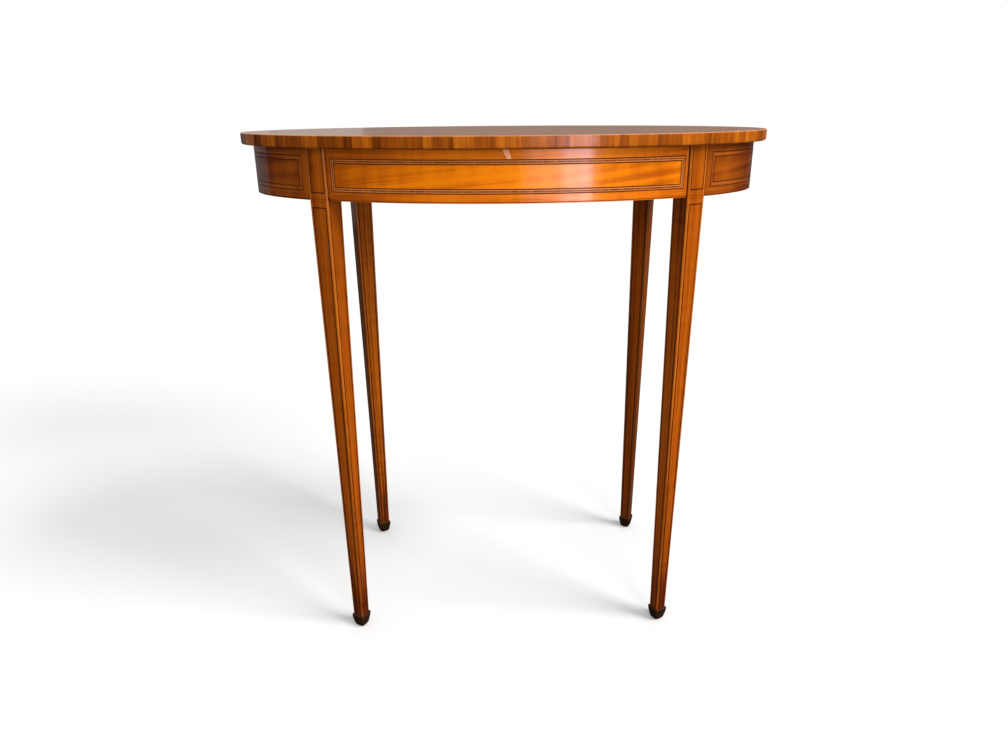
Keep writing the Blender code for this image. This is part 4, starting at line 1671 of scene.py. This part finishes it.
@dataclass
class Leg:
    """A square tapered leg with lines let into its faces, and its block foot."""

    corner: str
    oval: Oval
    layer: float
    wood: WoodFinish = LEG
    strip: WoodFinish = EDGE_STRIP
    # A darker wood for one side, as painted shade, and which side takes it.
    shade: WoodFinish | None = None
    shade_side: Side = Side.LAST
    head: float = 0.0276
    ankle: float = 0.0166
    arris: float = 0.0008
    margin_head: float = 0.0029
    margin_ankle: float = 0.0025
    line: float = 0.0014
    line_ankle: float = 0.0020
    bar_drop: float = 0.0085
    collar: float = 0.0013
    collar_line: float = 0.0004
    taper_steps: int = 12
    side_layer: float = 3.0

    def __post_init__(self) -> None:
        """Take the leg's place and levels from the frame, and turn it square to the oval."""
        foot_low, foot_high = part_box(f"foot_{self.corner}")
        middle = (foot_low + foot_high) / 2
        self.axis = Vector((middle.x, middle.y, 0.0))

        def beyond(angle: float) -> float:
            """How far an angle on the oval lies beyond the leg."""
            return abs(self.axis.x) - self.oval.point(angle, self.head / 2).x

        angle = solve(beyond, 0.0, QUARTER)
        sign = Vector((math.copysign(1.0, middle.x), math.copysign(1.0, middle.y), 1.0))
        self.outward = self.oval.normal(angle) * sign
        self.along = Vector((-self.outward.y, self.outward.x, 0.0))
        leg_low, leg_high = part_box(f"leg_{self.corner}")
        self.low = leg_low.z
        self.high = leg_high.z
        self.break_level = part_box("end_border_right")[0].z

    def rise(self, z: float) -> float:
        """Share of the taper passed at a level, from the ankle up."""
        return min(1.0, (z - self.low) / (self.break_level - self.low))

    def half(self, z: float) -> float:
        """Half the leg's width at a level."""
        return (self.ankle + (self.head - self.ankle) * self.rise(z)) / 2

    def levels(self) -> list[tuple[float, Stretch]]:
        """Levels up the leg, with its long taper cut into shorter stretches.

        Returns:
            Each level with the stretch above it.
        """
        joint = self.break_level
        frame_top = joint - self.bar_drop
        head_low = joint + self.bar_drop
        taper = frame_top - self.line - self.low
        steps = [self.low + taper * step / self.taper_steps for step in range(self.taper_steps)]
        return [
            *((z, Stretch.FRAME) for z in steps),
            (frame_top - self.line, Stretch.BAR),
            (frame_top, Stretch.PLAIN),
            (joint - self.collar - self.collar_line, Stretch.COLLAR),
            (joint - self.collar, Stretch.PLAIN),
            (joint, Stretch.PLAIN),
            (joint + self.collar, Stretch.COLLAR),
            (joint + self.collar + self.collar_line, Stretch.PLAIN),
            (head_low, Stretch.BAR),
            (head_low + self.line, Stretch.FRAME),
            (self.high, Stretch.END),
        ]

    def section(self, z: float) -> list[tuple[float, Strip]]:
        """Places across one face.

        Args:
            z: The level.

        Returns:
            Each place with the strip that follows it.
        """
        half = self.half(z)
        margin = self.margin_ankle + (self.margin_head - self.margin_ankle) * self.rise(z)
        line = self.line_ankle + (self.line - self.line_ankle) * self.rise(z)
        return [
            (-half + self.arris, Strip.MARGIN),
            (-half + margin, Strip.LINE),
            (-half + margin + line, Strip.FIELD),
            (half - margin - line, Strip.LINE),
            (half - margin, Strip.MARGIN),
            (half - self.arris, Strip.ARRIS),
        ]

    def build(self) -> None:
        """Build and dress the leg and its foot."""
        dress(self.leg_mesh(), Body.TABLE, Slot.SATINWOOD, f"leg_{self.corner}")
        dress(Foot(self).build(), Body.TABLE, Slot.EBONISED, f"foot_{self.corner}")

    def place(self, t: float, side: Side, z: float) -> Vector:
        """A point on one of the four sides.

        Args:
            t: Its place across the side.
            side: The side.
            z: Its level.

        Returns:
            The point.
        """
        local = Matrix.Rotation(side * QUARTER, 4, "Z") @ Vector((t, -self.half(z), 0.0))
        turned = self.along * -local.x + self.outward * -local.y
        return self.axis + turned + Vector((0.0, 0.0, z))

    def leg_mesh(self) -> bpy.types.Object:
        """Loft the leg through its levels.

        Returns:
            The piece.
        """
        draft = Draft()
        levels = self.levels()
        rings = [
            [draft.add_point(self.place(t, side, z)) for side in Side for t, _ in self.section(z)]
            for z, _ in levels
        ]
        count = len(rings[0])
        for k in range(len(levels) - 1):
            (low, stretch), (high, _) = levels[k], levels[k + 1]
            for i, j in around(count):
                corners = [rings[k][i], rings[k][j], rings[k + 1][j], rings[k + 1][i]]
                self.add_leg_face(draft, corners, i, stretch, low, high)
        open_patch = Patch(-FAR, FAR, -FAR, FAR)
        for ring in (rings[0][::-1], rings[-1]):
            draft.add_face(ring, [tuple(draft.points[number].xy) for number in ring], open_patch)
        woods = (self.wood, LEG_LINE, self.strip, self.shade or self.wood)
        return draft.build(f"leg_{self.corner}_lined", *(wood.material() for wood in woods))

    def add_leg_face(
        self, draft: Draft, corners: list[int], column: int, stretch: Stretch, low: float, high: float
    ) -> None:
        """Add one face of the leg, with its fibres up it.

        Args:
            draft: The leg.
            corners: Numbers of its points.
            column: Its place round the leg.
            stretch: The stretch of the leg that it is in.
            low: Its lower level.
            high: Its upper level.
        """
        sections = {z: self.section(z) for z in (low, high)}
        side, first = divmod(column, len(sections[low]))
        places = []
        for spot, z in ((first, low), (first + 1, low), (first + 1, high), (first, high)):
            t = sections[z][spot][0] if spot < len(sections[z]) else self.half(z)
            places.append((t, z))
        patch = Patch(-self.half(low), self.half(low), -FAR, FAR)
        slot = self.slot_of(sections[low][first][1], stretch, Side(side), low)
        draft.add_face(corners, places, patch, True, self.layer + self.side_layer * side, slot)

    def slot_of(self, strip: Strip, stretch: Stretch, side: Side, level: float) -> LegSlot:
        """Choose a face's material.

        Args:
            strip: The strip that it is in.
            stretch: The stretch that it is in.
            side: The side that it is on.
            level: Its lower level.

        Returns:
            The material's number.
        """
        on_line = strip is Strip.LINE
        if side is self.shade_side and self.shade:
            return LegSlot.LINE if on_line else LegSlot.SHADE
        if side is not Side.OUTER:
            if level >= self.break_level or strip is Strip.FIELD:
                return LegSlot.BODY
            return LegSlot.LINE if on_line else LegSlot.STRIP
        if stretch is Stretch.COLLAR:
            return LegSlot.LINE
        if on_line:
            return LegSlot.LINE if stretch in (Stretch.FRAME, Stretch.BAR) else LegSlot.BODY
        if strip is Strip.FIELD:
            return LegSlot.LINE if stretch is Stretch.BAR else LegSlot.BODY
        return LegSlot.STRIP


@dataclass
class Foot:
    """A dark block foot: eased brow, tapered sides and a rounded toe."""

    leg: Leg
    shoulder: float = 0.0186
    brow: float = 0.0203
    brow_drop: float = 0.0014
    brow_lip: float = 0.0001
    brow_lip_rise: float = 0.0003
    belly: float = 0.0172
    belly_rise: float = 0.0060
    swell: float = 0.0004
    toe: float = 0.0096
    wrap: float = 0.0022
    corner_round: float = 0.0009
    toe_round: float = 0.62
    steps: int = 6
    layer: float = 3.0

    def __post_init__(self) -> None:
        """Find the foot's levels from where the leg stands on it."""
        self.top = self.leg.low + self.wrap
        self.brow_low = self.top - self.brow_drop

    def profile(self) -> list[Spot]:
        """Draw the foot's side, from the floor up.

        Returns:
            Levels and widths.
        """
        points = []
        for step in range(self.steps + 1):
            turn = step / self.steps * QUARTER
            width = self.toe + (self.belly - self.toe) * math.sin(turn)
            points.append((self.belly_rise * (1.0 - math.cos(turn)), width))
        for step in range(1, self.steps + 1):
            share = step / self.steps
            swell = self.swell * math.sin(share * math.pi)
            level = self.belly_rise + (self.brow_low - self.belly_rise) * share
            points.append((level, self.belly + (self.brow - self.belly) * share + swell))
        points.append((self.brow_low + self.brow_lip_rise, self.brow + self.brow_lip))
        points.append((self.top, self.shoulder))
        return points

    def ring(self, width: float, level: float) -> list[Spot]:
        """Draw a square whose corners grow rounder towards the floor.

        Args:
            width: The square's side.
            level: Its level.

        Returns:
            Its points, anticlockwise.
        """
        half = width / 2
        lowness = max(0.0, 1.0 - level / self.brow_low)
        radius = self.corner_round + (half * self.toe_round - self.corner_round) * lowness ** 2
        points = []
        for quarter in range(4):
            turn = quarter * QUARTER
            centre = Matrix.Rotation(turn, 2) @ Vector((half - radius, half - radius))
            for step in range(self.steps + 1):
                angle = turn + step / self.steps * QUARTER
                points.append((centre.x + radius * math.cos(angle), centre.y + radius * math.sin(angle)))
        return points

    def build(self) -> bpy.types.Object:
        """Loft the foot through its profile.

        Returns:
            The piece.
        """
        leg = self.leg
        draft = Draft()
        rings = []
        for z, width in self.profile():
            ring = []
            for x, y in self.ring(width, z):
                place = leg.axis + leg.along * -x + leg.outward * y + Vector((0.0, 0.0, z))
                ring.append(draft.add_point(place))
            rings.append(ring)
        # The brow and the chamfer above it take the foot's painted highlight.
        patch = Patch(-FAR, FAR, -FAR, self.brow_low)
        for lower, upper in zip(rings, rings[1:]):
            for i, j in around(len(lower)):
                corners = [lower[j], lower[i], upper[i], upper[j]]
                places = [(draft.points[c].x + draft.points[c].y, draft.points[c].z) for c in corners]
                draft.add_face(corners, places, patch, True, self.layer)
        for ring in (rings[0], rings[-1][::-1]):
            places = [tuple(draft.points[number].xy) for number in ring]
            draft.add_face(ring, places, patch, True, self.layer)
        return draft.build(f"foot_{leg.corner}_block", FOOT.material())


# Inner pieces


@dataclass
class Carcass:
    """The boards inside the table with eased arrises, and the screws that hold the top."""

    ground_x: tuple[str, ...] = ("top_board", "drawer_rail", "top_rail", "back_rail", "drawer_front")
    ground_y: tuple[str, ...] = ("end_rail_left", "end_rail_right")
    lining_x: tuple[str, ...] = ("drawer_back", "drawer_bottom")
    lining_y: tuple[str, ...] = ("drawer_side", "runner", "guide", "kicker", "fixing_block")
    eased: float = 0.0004
    eased_steps: int = 2
    flat: float = math.radians(1.0)
    weld: float = JOINT / 4
    slot_width: float = 0.0009
    slot_depth: float = 0.0008
    shank: float = 0.0020
    head_height: float = 0.0020
    screw_sides: int = 24

    def build(self) -> None:
        """Build and dress the boards that still show, and the screws."""
        ground = (GROUND, WORN_GROUND, Slot.CARCASS)
        lining = (LINING, WORN_LINING, Slot.LINING)
        lists = (
            (self.ground_x, Grain.ALONG_X, ground),
            (self.ground_y, Grain.ALONG_Y, ground),
            (self.lining_x, Grain.ALONG_X, lining),
            (self.lining_y, Grain.ALONG_Y, lining),
        )
        for starts, grain, (finish, worn, slot) in lists:
            for name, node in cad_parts.items():
                if name.startswith(starts) and not node.hide_render:
                    board = self.board(name, finish.material(grain), worn.material(grain))
                    dress(board, self.body_of(name), slot, name)
        self.screws()

    @staticmethod
    def body_of(name: str) -> Body:
        """The body a board rides on."""
        return Body.DRAWER if name.startswith("drawer") and name != "drawer_rail" else Body.TABLE

    def board(self, name: str, *woods: bpy.types.Material) -> bpy.types.Object:
        """A copy of a node of the frame with eased, worn arrises.

        Args:
            name: The node.
            woods: Its wood, and the wood of its arrises.

        Returns:
            The piece.
        """
        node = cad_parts[name]
        shape = bmesh.new()
        shape.from_mesh(node.data)
        bmesh.ops.transform(shape, matrix=node.matrix_world, verts=shape.verts)
        bmesh.ops.remove_doubles(shape, verts=shape.verts, dist=self.weld)
        bmesh.ops.dissolve_limit(shape, angle_limit=self.flat, verts=shape.verts, edges=shape.edges)
        mesh = bpy.data.meshes.new(f"{name}_eased")
        shape.to_mesh(mesh)
        shape.free()
        mesh.materials.clear()
        for wood in woods:
            mesh.materials.append(wood)
        mesh.polygons.foreach_set("material_index", [0] * len(mesh.polygons))
        piece = ease(place_mesh(f"{name}_eased", mesh), self.eased, self.eased_steps)
        piece.modifiers["eased"].material = 1
        piece.modifiers.new("flat_faces", "WEIGHTED_NORMAL").keep_sharp = True
        return piece

    def screws(self) -> None:
        """Build and dress the screws that hold the top."""
        names = [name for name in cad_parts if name.startswith("top_screw")]
        boxes = [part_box(name) for name in names]
        heads = [((low.x + high.x) / 2, (low.y + high.y) / 2, low.z) for low, high in boxes]
        sizes = {
            "Head Radius": (boxes[0][1].x - boxes[0][0].x) / 2,
            "Head Height": self.head_height,
            "Shank Radius": self.shank,
            "Length": min(high.z - low.z for low, high in boxes),
            "Slot Width": self.slot_width,
            "Slot Depth": self.slot_depth,
            "Sides": self.screw_sides,
            "Material": SteelFinish().material(),
        }
        piece = place_mesh("top_screws", SlottedScrews().run(sizes, heads))
        dress(piece, Body.TABLE, Slot.STEEL, *names)


# Studio


def flat_sheet(name: str, place: Matrix, material: bpy.types.Material) -> bpy.types.Object:
    """Put a flat sheet on the stage.

    Args:
        name: Its name.
        place: What makes a square of side one the sheet.
        material: Its material.

    Returns:
        The sheet.
    """
    shape = bmesh.new()
    bmesh.ops.create_grid(shape, x_segments=1, y_segments=1, size=0.5, matrix=place)
    mesh = bpy.data.meshes.new(name)
    shape.to_mesh(mesh)
    shape.free()
    mesh.materials.append(material)
    sheet = place_mesh(name, mesh)
    return sheet


@dataclass(frozen=True)
class Studio:
    """A plain pale floor, soft lamps and the photograph's camera."""

    image_width: int = 1008
    focal_pixels: float = 747.08
    sensor: float = 36.0
    eye: Place = (-0.0301, -1.0982, 0.7518)
    yaw: float = math.radians(1.3865)
    pitch: float = math.radians(20.0444)
    roll: float = math.radians(-0.3995)
    floor_side: float = 120.0
    floor_glow: float = 0.09
    floor_grey: Color = (0.671, 0.68, 0.690)
    floor_bounce: Color = (0.25, 0.25, 0.25)
    ambient: float = 0.72
    warm: Color = (1.0, 0.96, 0.92)

    def build(self) -> None:
        """Set up the camera, the floor, the room, the lamps and the world."""
        self.camera()
        self.floor()
        self.world()
        for card in ROOM:
            card.build()
        self.sun("key_light", azimuth=72.0, elevation=46.5, strength=1.66, spread=17.0)
        self.sun("side_light", azimuth=56.5, elevation=28.5, strength=2.0, spread=17.0, gleams=False)
        self.window("front_light", azimuth=21.5, distance=2.4, size=(0.75, 1.9), power=23.0)
        bpy.context.scene.view_settings.view_transform = "Standard"

    def camera(self) -> None:
        """Stand the camera where the photograph was taken from."""
        forward = Vector((
            math.sin(self.yaw) * math.cos(self.pitch),
            math.cos(self.yaw) * math.cos(self.pitch),
            -math.sin(self.pitch),
        ))
        right = Vector((math.cos(self.yaw), -math.sin(self.yaw), 0.0))
        up = right.cross(forward)
        turned_right = right * math.cos(self.roll) + up * math.sin(self.roll)
        turned_up = up * math.cos(self.roll) - right * math.sin(self.roll)
        axes = Matrix((turned_right, turned_up, -forward)).transposed()
        data = bpy.data.cameras.new("camera")
        data.sensor_fit = "HORIZONTAL"
        data.sensor_width = self.sensor
        data.lens = self.sensor * self.focal_pixels / self.image_width
        camera = put_in_scene("camera", data)
        camera.matrix_world = Matrix.Translation(self.eye) @ axes.to_4x4()
        bpy.context.scene.camera = camera

    def floor(self) -> None:
        """Lay a wide white floor that keeps the table's shadow."""
        material, tree = new_material("floor")
        bounce = tree.add("ShaderNodeBsdfDiffuse", None, {"Color": (*self.floor_bounce, 1.0)}).out()
        matte = tree.add("ShaderNodeBsdfDiffuse", None, {"Color": (*self.floor_grey, 1.0)}).out()
        glow = tree.add("ShaderNodeEmission", None, {"Strength": self.floor_glow}).out()
        white = tree.add("ShaderNodeAddShader", None, {0: matte, 1: glow}).out()
        tree.show(self.as_seen(tree, bounce, white), "Principled BSDF")
        flat_sheet("floor", Matrix.Diagonal((self.floor_side, self.floor_side, 1.0, 1.0)), material)

    def world(self) -> None:
        """Make it white all round to the eye, with a soft even light."""
        world = bpy.data.worlds.new("studio")
        world.use_nodes = True
        bpy.context.scene.world = world
        tree = Tree(world.node_tree)
        soft, white = (
            tree.add("ShaderNodeBackground", None, {"Color": (*WHITE, 1.0), "Strength": strength}).out()
            for strength in (self.ambient, 1.0)
        )
        tree.show(self.as_seen(tree, soft, white), "Background", "World Output")

    @staticmethod
    def as_seen(tree: Tree, falling: Socket, seen: Socket) -> Socket:
        """Mix two shaders by how light reaches them.

        Args:
            tree: The tree they are in.
            falling: The one for light that falls on the table.
            seen: The one for what the camera sees straight, in a gloss or through glass.

        Returns:
            The mixed shader.
        """
        path = tree.add("ShaderNodeLightPath")
        direct = path.out("Is Camera Ray") + path.out("Is Glossy Ray") + path.out("Is Transmission Ray")
        return tree.add("ShaderNodeMixShader", None, {0: direct.least(1.0), 1: falling, 2: seen}).out()

    @staticmethod
    def way(azimuth: float, elevation: float) -> Vector:
        """The direction to a lamp, in degrees to the right of straight in front and above."""
        turn, rise = math.radians(azimuth), math.radians(elevation)
        return Vector((math.sin(turn) * math.cos(rise), -math.cos(turn) * math.cos(rise), math.sin(rise)))

    def sun(
        self, name: str, azimuth: float, elevation: float, strength: float, spread: float, gleams: bool = True
    ) -> None:
        """Hang a broad light far off, so that it falls evenly and its shadows soften.

        Args:
            name: The lamp's name.
            azimuth: Degrees to the right of straight in front.
            elevation: Degrees above the floor.
            strength: In watts for each square metre.
            spread: How many degrees it spans.
            gleams: Whether it shows in the polish.
        """
        data = bpy.data.lights.new(name, "SUN")
        data.energy = strength
        data.angle = math.radians(spread)
        data.color = self.warm
        lamp = put_in_scene(name, data)
        lamp.visible_glossy = gleams
        lamp.rotation_euler = self.way(azimuth, elevation).to_track_quat("Z", "Y").to_euler()

    def window(self, name: str, azimuth: float, distance: float, size: Spot, power: float) -> None:
        """Stand a tall soft lamp on the floor, turned to the table, that doesn't show in the polish.

        Args:
            name: The lamp's name.
            azimuth: Degrees to the right of straight in front.
            distance: From the table's middle, in metres.
            size: Width and height.
            power: In watts.
        """
        data = bpy.data.lights.new(name, "AREA")
        data.shape = "RECTANGLE"
        data.size, data.size_y = size
        data.energy = power
        data.color = self.warm
        way = self.way(azimuth, 0.0)
        lamp = put_in_scene(name, data)
        lamp.visible_glossy = False
        lamp.location = way * distance + Vector((0.0, 0.0, size[1] / 2))
        lamp.rotation_euler = way.to_track_quat("Z", "Y").to_euler()


@dataclass(frozen=True)
class Card:
    """A glowing card of the dim room round the table, seen in gloss only, where it paints the room's
    reflection.

    Stops make its light rise and fall across it, from the left as the table faces it.
    """

    name: str
    light: float
    middle: Place
    facing: Place
    size: Spot = (12.0, 12.0)
    stops: tuple[Spot, ...] = ()
    tint: Color = WHITE

    def build(self) -> None:
        """Stand the card in the scene."""
        turn = Vector(self.facing).to_track_quat("Z", "Y").to_matrix().to_4x4()
        spread = Matrix.Diagonal((*self.size, 1.0, 1.0))
        material, tree = new_material(self.name)
        across = (turn @ Vector((1.0, 0.0, 0.0, 0.0))).to_3d()
        color = self.color(tree, across) if self.stops else (*self.tint, 1.0)
        glow = tree.add("ShaderNodeEmission", None, {"Color": color, "Strength": self.light}).out()
        tree.show(glow, "Principled BSDF")
        card = flat_sheet(self.name, Matrix.Translation(self.middle) @ turn @ spread, material)
        card.visible_camera = False
        card.visible_diffuse = False
        card.visible_shadow = False
        card.visible_transmission = False

    def color(self, tree: Tree, across: Vector) -> Socket:
        """The tint, stronger and weaker across the card.

        Args:
            tree: The material's tree.
            across: The direction across the card.

        Returns:
            The colour.
        """
        sockets = {0: tree.object_place(), 1: across}
        passed = tree.add("ShaderNodeVectorMath", {"operation": "DOT_PRODUCT"}, sockets).out("Value")
        share = (passed - Vector(self.middle).dot(across)) / self.size[0] + 0.5
        stops = [(spot, tuple(part * strength for part in self.tint)) for spot, strength in self.stops]
        return tree.add("ShaderNodeValToRGB", {"stops": stops}, {"Fac": share}).out("Color")


WINDOW_STOPS = (
    (0.0, 0.0), (0.11, 0.14), (0.20, 0.88), (0.27, 1.0), (0.35, 0.70),
    (0.43, 0.80), (0.52, 0.40), (0.60, 0.23), (0.84, 0.17), (1.0, 0.0),
)
WINDOW_WAY = math.radians(18.0)
WINDOW_REACH = 2.4
ROOM = (
    Card("card_behind_table", 0.03, (0.0, 6.0, 5.0), (0.0, -1.0, 0.0)),
    Card(
        "card_low_left", 0.24, (-1.65, 1.41, 0.52), (0.669, -0.743, 0.0), (1.82, 0.45),
        ((0.0, 1.0), (0.4, 0.85), (1.0, 0.4)),
    ),
    Card(
        "card_low_right", 0.15, (1.57, 1.47, 0.52), (-0.629, -0.777, 0.0), (1.54, 0.45),
        ((0.0, 1.0), (1.0, 0.1)),
    ),
    Card("card_high_left", 0.60, (-3.55, 5.95, 3.3), (0.0, -1.0, 0.0), (4.9, 5.4)),
    Card("card_high_right", 0.31, (2.45, 5.95, 3.3), (0.0, -1.0, 0.0), (7.1, 5.4)),
    Card("card_behind_camera", 0.02, (0.0, -6.0, 5.0), (0.0, 1.0, 0.0)),
    Card("card_left", 0.02, (-6.0, 0.0, 5.0), (1.0, 0.0, 0.0)),
    Card("card_right", 0.03, (6.0, 0.0, 5.0), (-1.0, 0.0, 0.0)),
    Card("card_above", 0.25, (0.0, 0.0, 5.0), (0.0, 0.0, -1.0)),
    Card("card_below", 0.03, (0.0, 0.0, 0.0004), (0.0, 0.0, 1.0)),
    # A bright card seen only in the polish: the window's painted reflection.
    Card(
        "window_gleam", 10.8,
        (WINDOW_REACH * math.sin(WINDOW_WAY), -WINDOW_REACH * math.cos(WINDOW_WAY), 0.95),
        (-math.sin(WINDOW_WAY), math.cos(WINDOW_WAY), 0.0),
        (1.165, 1.9), WINDOW_STOPS, (0.50, 0.68, 1.0),
    ),
)


def main() -> None:
    """Build the table's looks in order."""
    logging.basicConfig(level=logging.INFO, format="%(message)s")
    Top().build()
    apron = Apron()
    apron.build()
    legs = (
        Leg("front_left", apron.oval, layer=220.0),
        Leg("front_right", apron.oval, layer=237.0, shade=INNER_LEG, shade_side=Side.NEXT),
        Leg("back_left", apron.oval, layer=203.0, wood=BACK_LEG, shade=SHADED_LEG, shade_side=Side.LAST),
        Leg("back_right", apron.oval, layer=220.0, wood=DARK_LEG, strip=DARK_STRIP),
    )
    for leg in legs:
        leg.build()
    Carcass().build()
    Studio().build()


if __name__ == "__main__":
    main()
